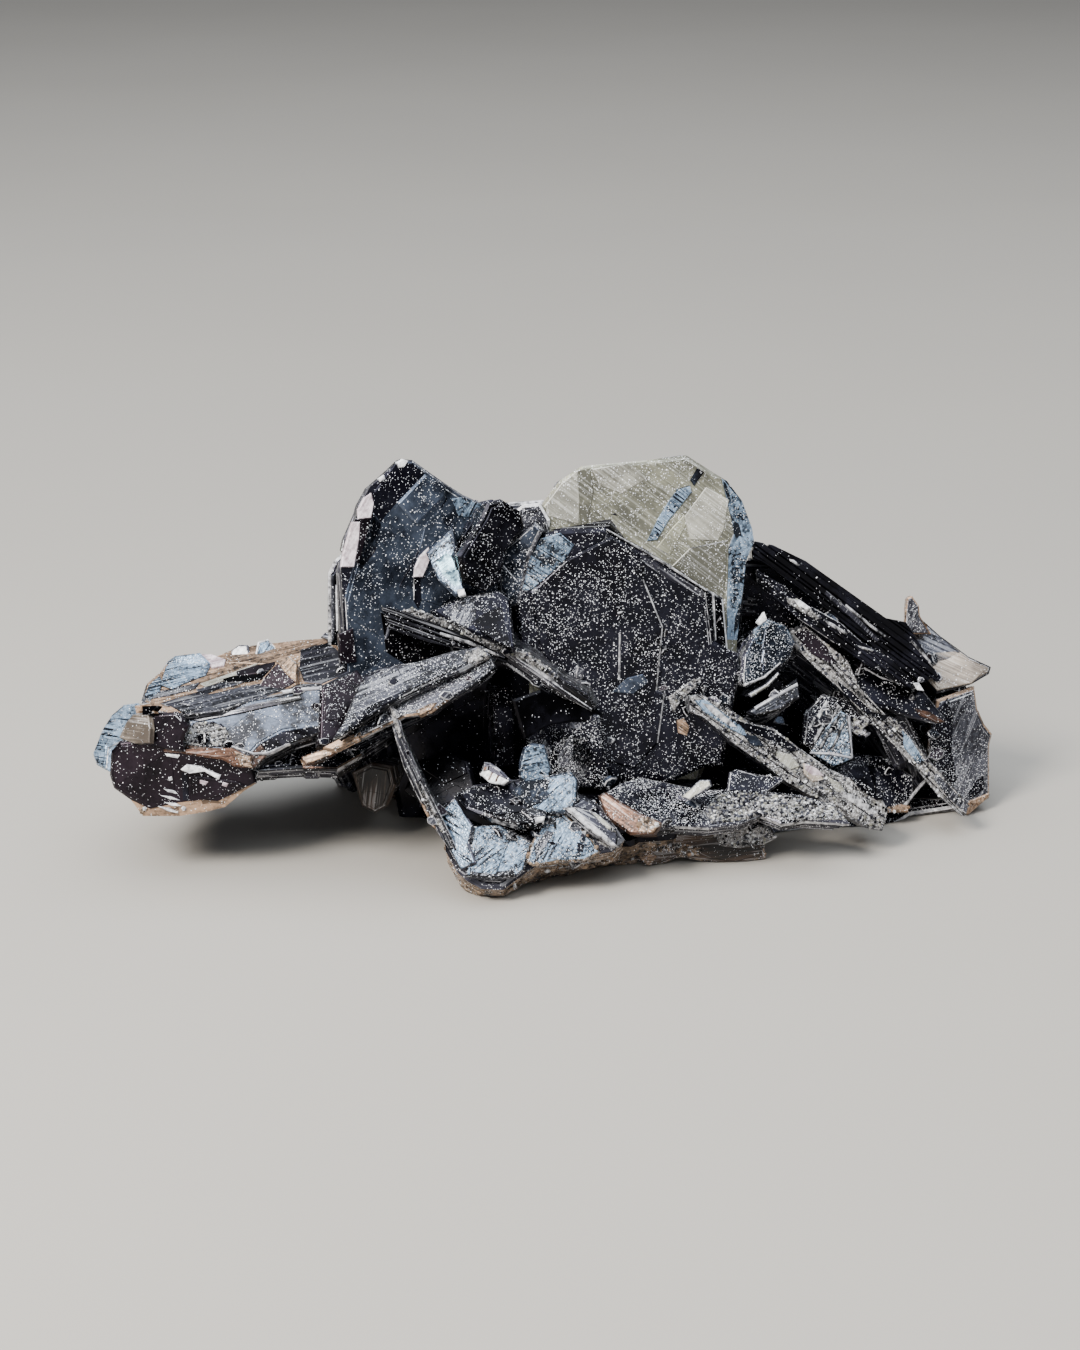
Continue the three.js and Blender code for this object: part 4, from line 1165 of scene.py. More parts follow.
@dataclass(frozen=True)
class RightBlades(Cluster):
    """The blades that fan out to the right."""

    piece_name: str = "right_blades"
    # The light BLUE facet and the EDGE facet on it at the upper end paint a blue-white highlight.
    front_blade: Crystal = Crystal(
        "689,696 702,694 732,711 752,723 774,728 801,749 829,769 861,783 882,799 888,811 882,831 866,828 "
        "819,802 789,784 760,762 730,741 702,717 690,712",
        at=(790, 762, -9.5), turn=8, tip=20, thick=6, rim=0.5, face=CRUST, build=Build.BLADE, pitch=1.6,
        dust=1.2, worn=0.2, facets="""
        BLUE 0.3 0.9: 694,700 706,699 722,712 742,726 748,738 728,728 704,712;
        BLACK 0.3 0.2: 726,716 744,722 772,730 800,750 790,752 762,738 736,726;
        STEEL 0.32 1: 742,734 756,736 764,746 752,746;
        CREAM 0.31 1.2: 774,750 790,754 800,766 790,770 780,762;
        CREAM 0.31 0.8: 826,776 838,782 846,792 836,792;
        SAND 0.33 1.2: 802,762 816,768 824,780 812,782 804,774;
        BLACK 0.3: 850,778 868,786 884,800 876,800 860,790;
        ROSE 0.36: 804,763 816,768 824,776 812,776 804,770;
        EDGE 0.3 0.4: 842,790 862,799 878,813 872,815 856,806 842,797;
        EDGE 0.36 1.2: 700,702 712,705 728,718 738,728 730,727 712,714""")
    # Its thin EDGE dashes and the lighter LEAVES strip paint the highlights and the pale sheen along its long
    # edges.
    upper_blade: Crystal = Crystal(
        "750,540 773,545 806,561 851,593 886,618 906,622 927,655 942,681 922,683 890,661 830,613 770,566 "
        "752,558",
        at=(830, 600, 6), turn=-2, tip=18, thick=12, rim=0.6, side=BLACK, build=Build.BLADE, pitch=0.8,
        dust=0.2, worn=0.06, tone=-0.5, facets="""
        EDGE 0.4: 789,559 794,560 800,565 798,566 790,561;
        EDGE 0.45: 838,599 841,601 842,606 839,604;
        EDGE 0.4: 846,604 872,625 886,636 884,637 870,627 845,606;
        EDGE 0.45: 912,640 924,652 934,666 932,667 921,654 911,642;
        LEAVES 0.35 0.8: 826,590 852,612 880,640 876,642 848,616 824,594""")
    # The white patch and the EDGE lines along its edges paint highlights.
    second_blade: Crystal = Crystal(
        "756,569 784,586 803,602 841,623 861,641 893,660 924,692 900,686 861,661 834,643 797,618 758,584",
        at=(830, 625, 2.5), turn=-2, tip=16, thick=12, rim=0.4, side=BLACK, build=Build.BLADE, pitch=0.7,
        dust=0.5, worn=0.12, tone=-0.4, facets="""
        SPAR 0.35: 793,599 800,600 811,608 806,610 797,605;
        SPAR 0.35: 913,683 919,683 924,691 917,690;
        CRUST 0.3: 786,597 798,600 812,610 822,618 816,620 800,611 788,603;
        EDGE 0.25: 824,619 834,624 848,633 846,635 832,627 823,621;
        EDGE 0.2: 833,632 836,631 854,644 874,650 872,652 852,646""")
    long_blade: Crystal = Crystal(
        "790,630 806,626 848,660 869,706 897,720 934,765 970,806 969,815 961,816 938,796 899,748 861,707 "
        "820,673 790,643",
        at=(880, 725, 0), turn=-2, tip=16, thick=7, rim=0.4, face=CRUST, build=Build.BLADE, pitch=1.0,
        worn=0.15, facets="""
        PURPLE 0.28 0.8: 794,634 806,628 826,646 836,662 830,664 812,654;
        BLACK 0.28: 836,680 852,692 872,712 890,716 884,722 864,712 844,694;
        GREY 0.27 0.3: 936,772 950,786 968,806 966,814 950,800 934,780;
        BLUE 0.27: 902,730 912,740 925,760 918,764 904,748""")
    ledge_plate: Crystal = Crystal(
        "850,672 874,664 903,682 924,692 948,722 935,724 905,716 868,706",
        at=(895, 692, 3), turn=10, tip=30, thick=7, rim=0.5, grain=-35, steps=4, dust=0.7, worn=0.1,
        facets="""
        EDGE 0.2: 858,666 861,665 880,676 904,684 903,686 880,679;
        MAUVE 0.25: 913,708 930,712 945,722 936,723 920,716""")
    spike: Crystal = Crystal(
        "904,634 905,612 907,598 912,596 919,606 920,616 931,634",
        at=(914, 616, 11), turn=8, tip=8, thick=3.5, rim=0.5, face=GREY, side=TAN, bevel=TAN)
    warm_plate: Crystal = Crystal(
        "905,622 919,617 939,635 969,657 991,667 989,674 972,684 936,694 915,670",
        at=(955, 665, 11), turn=12, tip=36, thick=5, face=SAND, side=MAUVE, bevel=LEAVES, grain=-30, steps=1,
        dust=0.5, worn=0.2, facets="""
        GREY 0.1: 906,623 919,618 939,636 960,652 948,660 930,664 918,668;
        SAND 0.12 0.6: 934,676 962,660 988,668 972,683 940,690""")
    # Painted shade: the BLACK facet at its left stands for the shadow there.
    end_plate: Crystal = Crystal(
        "936,700 974,686 977,708 984,724 992,734 989,745 989,798 978,804 967,813 940,790 930,750",
        at=(970, 760, 7), turn=24, tip=12, thick=6, rim=1, face=GREY, side=MAUVE, bevel=TAN, steps=1,
        dust=1.6, worn=0.2, tone=0.6, facets="""
        BLACK 0.12: 967,793 976,779 984,773 984,790 970,800;
        BLACK 0.1: 934,712 948,698 954,720 952,752 958,780 942,790 931,752;
        TAN 0.3: 968,801 988,793 988,797 966,816""")
    blade_roots: Crystal = Crystal(
        "738,560 775,562 850,610 925,672 972,690 982,740 982,795 940,806 860,812 760,800 730,700",
        at=(860, 700, 13), turn=8, tip=10, thick=12, rim=2, dust=0.4, worn=0.3)
    pale_wedge: Crystal = Crystal(
        "808,753 824,728 840,709 849,714 851,736 854,760 834,768",
        at=(836, 742, -1), turn=-10, tip=24, thick=8, rim=0.6, face=BLUE, grain=62, dust=2, worn=0.2,
        tone=-1.4, facets="""
        EDGE 0.25: 818,748 838,716 840,717 821,749;
        EDGE 0.25: 830,750 843,722 845,723 833,751;
        SPAR 0.2: 847,715 850,716 853,758 851,758;
        SPAR 0.2: 810,752 832,752 852,757 852,759 830,755 811,754""")
    spotted_plate: Crystal = Crystal(
        "800,744 804,712 822,694 846,700 862,716 848,746 826,756",
        at=(826, 724, 1.5), turn=-6, tip=18, thick=8, rim=0.6, grain=50, dust=2.6, worn=0.2, facets="""
        CRUST 0.5 1.6: 848,722 856,718 866,716 870,722 862,730 868,734 858,736 850,730;
        SPAR 0.25: 816,716 826,700 829,702 820,718;
        EDGE 0.25: 808,728 814,716 816,718 810,731;
        EDGE 0.25: 812,742 822,722 825,724 816,744;
        EDGE 0.25: 828,722 838,704 840,706 831,724""")
    rear_plates: Crystal = Crystal(
        "820,766 848,752 880,756 914,777 912,800 886,813 850,800",
        at=(875, 785, 2), turn=16, tip=34, thick=8, rim=0.7, dust=2, worn=0.2, facets="""
        EDGE 0.2: 867,756 869,756 870,790 868,790;
        EDGE 0.25: 904,804 912,794 924,780 926,782 914,796 906,806;
        TAN 0.3: 887,808 899,804 908,806 908,812 889,812""")
    gap_crystal: Crystal = Crystal(
        "740,682 742,656 750,638 768,618 788,626 796,643 788,662 764,677 746,688",
        at=(768, 650, 0), turn=22, tip=24, thick=14, face=STEEL, side=BLACK, grain=40, steps=4, dust=2,
        worn=0.3, tone=0.3, facets="""
        BLUE 0.1 -0.6: 754,630 768,620 787,627 791,638 772,648 756,644;
        EDGE 0.2: 744,684 764,676 780,662 781,663 765,678 745,686;
        SPAR 0.3: 757,622 764,612 767,620 760,625""")
    light_slab: Crystal = Crystal(
        "748,694 766,684 778,672 780,674 768,687 751,698",
        at=(762, 684, -2.5), turn=12, tip=22, thick=18, rim=0.3, back_rim=0.4, face=CREAM, side=GREY,
        pitch=0.5)
    lower_light_slab: Crystal = Crystal(
        "746,712 768,698 797,678 800,698 780,710 756,716",
        at=(774, 700, -2.5), turn=12, tip=34, thick=20, rim=0.4, back_rim=0.4, face=GREY, pitch=0.5, grain=25,
        dust=0.6, worn=0.2, tone=-0.8, facets="""
        SPAR 0.3: 754,707 775,695 797,683 798,686 776,698 756,710""")


@dataclass(frozen=True)
class RearPlates:
    """The plates out of the viewer's sight."""

    piece_name: str = "rear_plates"
    corners: str = ("-0.5,-0.1 -0.34,-0.42 -0.1,-0.5 0.3,-0.46 0.5,-0.08 0.42,0.24 0.22,0.46 -0.18,0.5 "
                    "-0.42,0.22")
    rim: float = 0.8
    worn: float = 0.7
    steps: int = 4
    # middle, turn, tip, width, height, thickness and film
    plates: tuple[tuple[Any, ...], ...] = (
        ((4, 17, 30), 176, 14, 46, 44, 8, GREY),
        ((-17, 15, 30), 205, 10, 34, 40, 7, STEEL),
        ((20, 24, 20), 160, 28, 36, 30, 7, BLACK),
        ((-8, 27, 15), 192, 38, 40, 26, 7, STEEL),
        ((42, 22, 15), 140, 32, 34, 26, 6, GREY),
        ((-34, 10, 18), 214, 50, 34, 24, 7, STEEL),
        ((-54, 2, 17), 236, 62, 24, 18, 6, GREY),
        ((56, 14, 13), 112, 26, 24, 24, 5, GREY),
        ((30, 20, 31), 168, 66, 26, 14, 4, GREY),
        ((2, 31, 7), 178, 12, 30, 18, 5, BLACK),
        ((-26, 22, 7), 220, 8, 24, 22, 6, PURPLE),
        ((34, 28, 7), 150, 6, 26, 20, 5, BLACK),
    )

    def mass(self) -> Mass:
        """Builds the rear plates.

        Returns:
            Their solids.
        """
        gathered = Mass(self.piece_name)
        for i, (middle, turn, tip, wide, tall, thick, film) in enumerate(self.plates):
            crystal = Crystal("", middle, turn, tip, thick, self.rim, ledge=thick / 2, face=film,
                              steps=self.steps, worn=self.worn)
            outline = [Vector((x * wide, y * tall)) for x, y in points_of(self.corners)]
            bevels = [self.rim * FINE_RIM] * len(outline)
            lay = Lay(Vector(middle), turn, tip)
            CrystalMaker(gathered, crystal, lay, outline, bevels, f"rear{i}").build()
        return gathered


@dataclass(frozen=True)
class BrokenBase:
    """The rough break that the cluster was taken off the rock by."""

    piece_name: str = "broken_base"
    outline: str = ("-30,15 -19,9 -13,-2 -11,-22 -2,-26 10,-20 30,-12 36,-2 54,0 62,9 60,18 40,27 14,32 "
                    "-12,30 -28,24")
    height: float = 9
    slope: float = 2.5
    least_slope: float = 0.05
    spacing: float = 1.1
    roughness: float = 0.9
    levels: int = 9
    bare: float = 5.0  # height up to which it is bare rock
    lumps: tuple[float, float] = (0.35, 0.6)  # how fast the lumps change across and down
    crumbs: tuple[float, float] = (1.1, 1.4)  # the same for the crumbs on them
    crumb_share: float = 0.5
    eaten: float = 0.6  # how far the break is eaten in where lumps and crumbs are even
    tone: float = 0.5
    dust: float = 0.2

    def mass(self) -> Mass:
        """Builds the base with a rough side.

        Returns:
            Its solid.
        """
        ring: list[Vector] = []
        for p, q in sides([Vector(corner) for corner in points_of(self.outline)]):
            count = max(1, round((q - p).length / self.spacing))
            ring += [p.lerp(q, k / count) for k in range(count)]
        rings = []
        for k in range(self.levels + 1):
            height = self.height * (1 - k / self.levels)
            level = inset(ring, max(self.slope * abs(1 - 2 * k / self.levels), self.least_slope))
            rough = [p - p.normalized() * self.depth(p, height) * self.roughness for p in level]
            rings.append(Ring(rough, -height, ROCK if height < self.bare else BLACK))
        gathered = Mass(self.piece_name)
        gathered.stack(rings, Lay(Vector((0, 0, 0)), 0, 90), self.tone, self.dust, 0, BLACK)
        return gathered

    def depth(self, point: Vector, height: float) -> float:
        """How far the break is eaten in.

        Args:
            point: where on its outline.
            height: height over the ground.

        Returns:
            A share of its roughness.
        """
        lump, crumb = (noise(Vector((point.x * across, point.y * across, height * down)))
                       for across, down in (self.lumps, self.crumbs))
        return max(0.0, self.eaten - lump - self.crumb_share * crumb)


@dataclass(frozen=True)
class Spot:
    """A spot on the surface for a small body, the way that the surface looks, and the body's width."""

    at: Vector
    normal: Vector
    size: float


@dataclass(frozen=True)
class Scatter:
    """Small bodies on the outer surface: their films, number, sizes, and where they may lie."""

    piece_name: str
    films: tuple[Film, ...]
    count: int
    smallest: float
    largest: float
    seed: int
    highest: float = 100.0
    only: tuple[Film, ...] = ()
    tries: int = 4  # spots tried for each body
    skew: float = 2.5  # how much rarer large bodies are than small ones

    def mass(self, whole: Mass) -> Mass:
        """Scatters the bodies over what is open to the air.

        Args:
            whole: all crystals, which they lie on.

        Returns:
            The small bodies.
        """
        rng = np.random.default_rng(self.seed)
        tree = BVHTree.FromPolygons(whole.points, whole.faces)
        corners, weights, normals = triangles_of(whole, self.only)
        low, high = (Vector(c) / MM - ORIGIN_SHIFT for c in cad_box)
        gathered, made = Mass(self.piece_name), 0
        for pick in rng.choice(len(weights), size=self.count * self.tries, p=weights / weights.sum()):
            (a, b, c), (u, v) = corners[pick], sorted(rng.random(2))
            at, normal = Vector(a * u + b * (v - u) + c * (1 - v)), Vector(normals[pick])
            size = self.smallest + (self.largest - self.smallest) * float(rng.random()) ** self.skew
            spot = Spot(at, normal, size)
            inside = all(low[i] + size < at[i] < high[i] - size for i in range(3)) and at.z < self.highest
            if made < self.count and inside and self.fits(tree, spot):
                self.place(gathered, spot, rng)
                made += 1
        return gathered

    def fits(self, tree: BVHTree, spot: Spot) -> bool:
        """Whether a body may lie at a spot among the faces of the tree."""
        return is_open(tree, spot)

    def place(self, mass: Mass, spot: Spot, rng: np.random.Generator) -> None:
        """Adds one body to a mass."""
        raise NotImplementedError


LEAST_AREA = 1e-9  # keeps the normals of empty triangles finite
LEAST_SETTLED = 0.45  # share of the dust of a level face that a steep one takes
SETTLING = 0.35  # how far from level a face still takes most of the dust
LEAST_LEVEL = -0.3  # faces that look further down take nothing


def triangles_of(whole: Mass, only: tuple[Film, ...]) -> tuple[np.ndarray, np.ndarray, np.ndarray]:
    """Splits faces in triangles for scattering small bodies on.

    Args:
        whole: the faces.
        only: the films that take them, or none for all.

    Returns:
        The triangles' corners, how many bodies each draws, and their normals.
    """
    mesh = bpy.data.meshes.new("scatter")
    mesh.from_pydata(whole.points, [], whole.faces)
    mesh.calc_loop_triangles()
    index, face = (np.zeros(len(mesh.loop_triangles) * n, int) for n in (3, 1))
    mesh.loop_triangles.foreach_get("vertices", index)
    mesh.loop_triangles.foreach_get("polygon_index", face)
    bpy.data.meshes.remove(mesh)
    points = np.array(whole.points)[index.reshape(-1, 3)]
    crossed = np.cross(points[:, 1] - points[:, 0], points[:, 2] - points[:, 0])
    doubled = np.linalg.norm(crossed, axis=1)
    normals = crossed / np.maximum(doubled, LEAST_AREA)[:, None]
    level = normals[:, 2]
    allowed = np.array([not only or film in only for film in whole.films])[face]
    settled = LEAST_SETTLED + (1 - LEAST_SETTLED) * np.clip(level + SETTLING, 0, 1)
    weights = doubled * np.array(whole.dusts)[face] * settled * allowed
    weights[level < LEAST_LEVEL] = 0
    return points, weights, normals


LIFT_OFF = 0.03  # how far over the surface a line of sight starts
OVERHEAD = Vector((0, 0, 0.9))
SIDEWAYS = (0.8, 0.2)  # how far a line of sight is bent outward and up


def is_open(tree: BVHTree, spot: Spot) -> bool:
    """Whether some line of sight from a spot leaves the specimen.

    Args:
        tree: all faces.
        spot: the spot on one of them.

    Returns:
        False where it lies inside another crystal.
    """
    normal, start = spot.normal, spot.at + spot.normal * LIFT_OFF
    outward = Vector((math.copysign(SIDEWAYS[0], normal.x), 0, SIDEWAYS[1]))
    ways = (normal, (EYE - spot.at).normalized(), normal + OVERHEAD, normal + outward)
    return any(way.dot(normal) > 0 and tree.ray_cast(start, way)[0] is None for way in ways)


@dataclass(frozen=True)
class Grains(Scatter):
    """Loose grains of dust or crust, squat irregular chips."""

    flatness: float = 0.4
    coarse: float = 0.45  # grains from this size on are chips, smaller ones pyramids
    unevenness: tuple[float, float] = (0.7, 1.3)
    rooted: float = 0.05  # how deep a grain sits, as a share of its size
    narrowed: float = 0.3  # reach of a chip's top, as a share of its size

    def place(self, mass: Mass, spot: Spot, rng: np.random.Generator) -> None:
        """Adds one grain, a flat pyramid or, where it is large, a five-sided chip.

        Args:
            mass: what it is added to.
            spot: where it lies.
            rng: where the chance comes from.
        """
        normal, size = spot.normal, spot.size
        side = normal.orthogonal().normalized()
        other, first = normal.cross(side), len(mass.points)
        count = 3 if size < self.coarse else 5
        wobble = rng.uniform(*self.unevenness, 2 * count)
        turn, tone = rng.random(2)
        film = self.films[int(rng.integers(len(self.films)))]

        def corner(k: int, reach: float, height: float) -> Vector:
            """One corner, at a share of the size from the middle and over the surface."""
            a = (turn + k / count) * math.tau
            out = side * math.cos(a) + other * math.sin(a)
            return spot.at + out * reach * size + normal * height * size

        mass.points += [corner(k, wobble[k] / 2, -self.rooted) for k in range(count)]
        if count == 3:
            mass.points.append(spot.at + normal * size * self.flatness * wobble[3])
            corners = ((0, 2, 1), (0, 1, 3), (1, 2, 3), (2, 0, 3))
        else:
            mass.points += [corner(k, wobble[count + k] * self.narrowed, self.flatness * wobble[k])
                            for k in range(count)]
            ring = [(k, (k + 1) % count, count + (k + 1) % count, count + k) for k in range(count)]
            halves = [half for p, q, r, s in ring for half in ((p, q, r), (p, r, s))]
            corners = (range(count)[::-1], range(count, 2 * count), *halves)
        for around in corners:
            mass.face(tuple(first + i for i in around), film, float(tone), 0.0, [(0.0, 0.0)] * len(around))


@dataclass(frozen=True)
class SmallPlates(Scatter):
    """Small tabular crystals that grew in the crevices between the large ones.

    Apart from the angles and the least height, the values are shares of a crystal's size.
    """

    corners: int = 6
    turns: tuple[float, float] = (-60, 60)
    tips: tuple[float, float] = (-20, 50)
    reaches: tuple[float, float] = (0.25, 0.55)
    squatness: float = 0.8
    thickness: float = 0.22
    bevel: float = 0.05
    least_height: float = 1.5
    felt_from: float = 0.4  # how far over the surface neighbours are felt for
    felt_to: float = 0.8  # and how far to each side

    def fits(self, tree: BVHTree, spot: Spot) -> bool:
        """Whether the air over a spot is shut in by another crystal close by.

        Args:
            tree: all faces.
            spot: the spot on one of them.

        Returns:
            True in a crevice that is open to the air.
        """
        if spot.at.z < self.least_height or not is_open(tree, spot):
            return False
        side = spot.normal.orthogonal().normalized()
        other, far = spot.normal.cross(side), spot.size * self.felt_to
        over = spot.at + spot.normal * spot.size * self.felt_from
        return any(tree.ray_cast(over, way, far)[0] for way in (side, -side, other, -other))

    def place(self, mass: Mass, spot: Spot, rng: np.random.Generator) -> None:
        """Adds one small six-sided tablet.

        Args:
            mass: what it is added to.
            spot: where its middle lies.
            rng: where the chance comes from.
        """
        lay = Lay(spot.at, rng.uniform(*self.turns), rng.uniform(*self.tips))
        reaches = spot.size * rng.uniform(*self.reaches, self.corners)
        angles = (rng.random() + np.arange(self.corners) / self.corners) * math.tau
        outline = [Vector((math.cos(a) * r, math.sin(a) * r * self.squatness))
                   for a, r in zip(angles, reaches)]
        thick, bevel = spot.size * self.thickness, spot.size * self.bevel
        film = self.films[int(rng.integers(len(self.films)))]
        rings = [
            Ring(inset(outline, bevel), -thick / 2, EDGE),
            Ring(outline, -thick / 2 + bevel, film),
            Ring(outline, thick / 2, film),
        ]
        mass.stack(rings, lay, float(rng.random()), 1.0, float(rng.uniform(0, 180)), film)


@dataclass(frozen=True)
class Finish:
    """How one film looks.

    Attributes:
        film: which film it is.
        dark: sRGB hex of its darker parts.
        light: sRGB hex of its lighter parts.
        metallic: how far it reflects as a metal.
        roughness: how matt it is.
        stripe: how strongly the striations colour it.
        mottle: how strongly blotches colour it.
        lines: share of the striations that are rubbed white, or left dark where it is negative.
        relief: depth of the striations in millimetres.
        specks: share of the surface cells that hold a dust speck.
        grit: how strongly fine grains colour and roughen it.
        blotch: size of its blotches in millimetres.
    """

    film: Film
    dark: str
    light: str
    metallic: float
    roughness: float
    stripe: float
    mottle: float
    lines: float
    relief: float
    specks: float
    grit: float = 0.12
    blotch: float = 5.0


# Specular hematite reflects like a dark metal. Its basal faces are near mirrors, its edges are finely
# striated where leaf lies on leaf, and settled dust turns some facets white.
# Other facets are tan, olive, sand, pale blue or cyan because reflections and highlights of the lamps and the
# warm table are painted into their colour.
FINISHES = (
    # grown basal face, almost black until a light stands in it
    Finish(BLACK, "#040306", "#262632", 0.8, 0.24, 0.06, 0.6, 0.0, 0.02, 0.26),
    # edges of the leaves, dark between fine rubbed lines
    Finish(LEAVES, "#050507", "#3D3C46", 0.7, 0.3, 0.6, 0.35, 0.08, 0.06, 0.16, 0.2),
    # basal face under a thin violet oxide film
    Finish(PURPLE, "#09060A", "#2F242E", 0.75, 0.32, 0.05, 0.5, 0.0, 0.02, 0.28),
    # cleaner face with the blue-grey reflection of a cool sky painted into its colour
    Finish(STEEL, "#0A0C12", "#4B5464", 0.75, 0.28, 0.15, 0.85, 0.0, 0.02, 0.26),
    # painted reflection of a cool lamp, pale blue, cut by dark striations
    Finish(BLUE, "#0E141D", "#8EA5BE", 0.5, 0.32, 0.95, 0.6, -0.45, 0.08, 0.3, 0.8, 3.0),
    # painted highlight, the cyan-white glint of a cool lamp
    Finish(CYAN, "#1D2F3A", "#B9E4F4", 0.6, 0.22, 0.1, 1.0, 0.0, 0.03, 0.1, 0.1, 3.0),
    # powdered edge, matt white
    Finish(SPAR, "#85858C", "#FDFDFC", 0.05, 0.6, 0.4, 0.5, 0.1, 0.05, 0.0, 0.5, 1.5),
    # olive-grey reflection painted on a smooth plate
    Finish(OLIVE, "#55544A", "#94937F", 0.45, 0.38, 0.5, 0.4, 0.03, 0.03, 0.36),
    # the same painted reflection where it is paler, a painted sheen, and also a pale colour of caked dust
    Finish(CREAM, "#66645A", "#B5B3A7", 0.4, 0.4, 0.5, 0.4, 0.04, 0.03, 0.28),
    # warm painted reflection, silky along the striations
    Finish(SAND, "#574E46", "#BFB1A2", 0.4, 0.4, 0.6, 0.4, 0.05, 0.03, 0.22),
    # warm tan of the table painted as a reflection on bevels and lying faces, half matt
    Finish(TAN, "#1C140E", "#AE9077", 0.45, 0.42, 1.1, 0.4, -0.25, 0.05, 0.2, 0.5, 2.0),
    # chipped rim that shows the pale inside
    Finish(ROSE, "#85737A", "#E6D9DE", 0.1, 0.5, 0.3, 0.6, 0.05, 0.03, 0.0, 0.4, 1.5),
    # darker rust with a painted warm reflection, brownish violet
    Finish(MAUVE, "#140C09", "#634637", 0.7, 0.4, 0.5, 0.5, 0.03, 0.04, 0.2, 0.5, 3.0),
    # fibrous brown hematite, its brown in part a painted warm reflection of the table
    Finish(BROWN, "#100C0A", "#4A392C", 0.2, 0.6, 0.9, 0.2, 0.05, 0.1, 0.05),
    # face under a coat of settled dust
    Finish(GREY, "#0B0A0F", "#575862", 0.65, 0.36, 0.5, 0.6, 0.05, 0.05, 0.42, 0.45),
    # the dust where it caked to grains
    Finish(CRUST, "#07070A", "#918E8C", 0.6, 0.5, 0.3, 0.9, 0.03, 0.12, 0.55, 0.9, 1.8),
    # rubbed edge between two facets, whole in places only, whose pale grey also paints glints along edges
    Finish(EDGE, "#0C0C0F", "#C4C3C6", 0.3, 0.45, 0.2, 0.95, 0.05, 0.03, 0.0, 0.4, 0.9),
    # broken rock under the crystals
    Finish(ROCK, "#120E0C", "#957F69", 0.05, 0.7, 0.2, 0.7, 0.03, 0.15, 0.4, 0.8, 1.6),
)
SPECK_COLOUR = "#F5F6FB"
TO_MM = 1000.0

# What the patterns measure on the real specimen, in millimetres
STRIATION_MM = 0.36  # real striations are 0.05 to 0.2 mm apart, drawn coarser so that they show
BAND_MM = 1.3  # bundles of striations
STRIATION_LENGTH_MM = 14
PATCH_MM = 7  # where dust lies thicker or thinner
COARSE_SPECK_MM = 0.34  # spacing of the larger dust grains
FINE_SPECK_MM = 0.22  # spacing of the fine dust, drawn coarser than the real 0.1 mm so that it shows
GRIT_MM = 0.4  # size of the grains of the caked dust
RAGGED_MM = 0.25  # size of what makes the specks' outlines uneven

# How the patterns are mixed: which values of a pattern count, and what they become
BAND_SHARE = 0.4
STRIPE_SPAN = (0.4, 0.62)
BLOTCH_SPAN = (0.4, 0.66)
PATCH_SPAN, PATCH_SHARES = (0.35, 0.65), (0.3, 1.7)
RUBBED_SPAN, RUBBED_STRENGTH = (0.56, 0.62), 3
TONE_SHIFT = (-0.5, 0.25)  # what the darkest and lightest leaf take from and add to the light colour
MATT_SHIFT = (-0.07, 0.12)  # the same for the roughness of clean and blotched parts
DIMMEST_SPECK = 0.5
SPECK_REACH = 0.27  # radius of a speck as a share of the spacing
SPECK_BEND = 0.9  # how far its outline is pushed about, as a share of the spacing
SPECK_MATT, SPECK_HEIGHT = 0.5, 0.6
GRIT_REACH = 0.7  # distance from a grain's middle, in grains, where it ends
BUMP = 0.8


def add(tree: bpy.types.NodeTree, kind: str, inputs: dict[str | int, Any], **settings: Any) -> Any:
    """Adds a node with its settings and links.

    Args:
        tree: the material's tree.
        kind: the node's type, without the words that all shader nodes share.
        inputs: a value, or the output of another node, for each input by name or number.
        settings: its own settings.

    Returns:
        The node's outputs.
    """
    node = tree.nodes.new("ShaderNode" + kind)
    for name, value in settings.items():
        setattr(node, name, value)
    for name, value in inputs.items():
        if isinstance(value, bpy.types.NodeSocket):
            tree.links.new(value, node.inputs[name])
        else:
            node.inputs[name].default_value = value
    return node.outputs


def new_material(name: str) -> bpy.types.Material:
    """Makes a material with an empty tree.

    Args:
        name: its name.

    Returns:
        The material.
    """
    made = bpy.data.materials.new(name)
    made.use_nodes = True
    made.node_tree.nodes.clear()
    return made


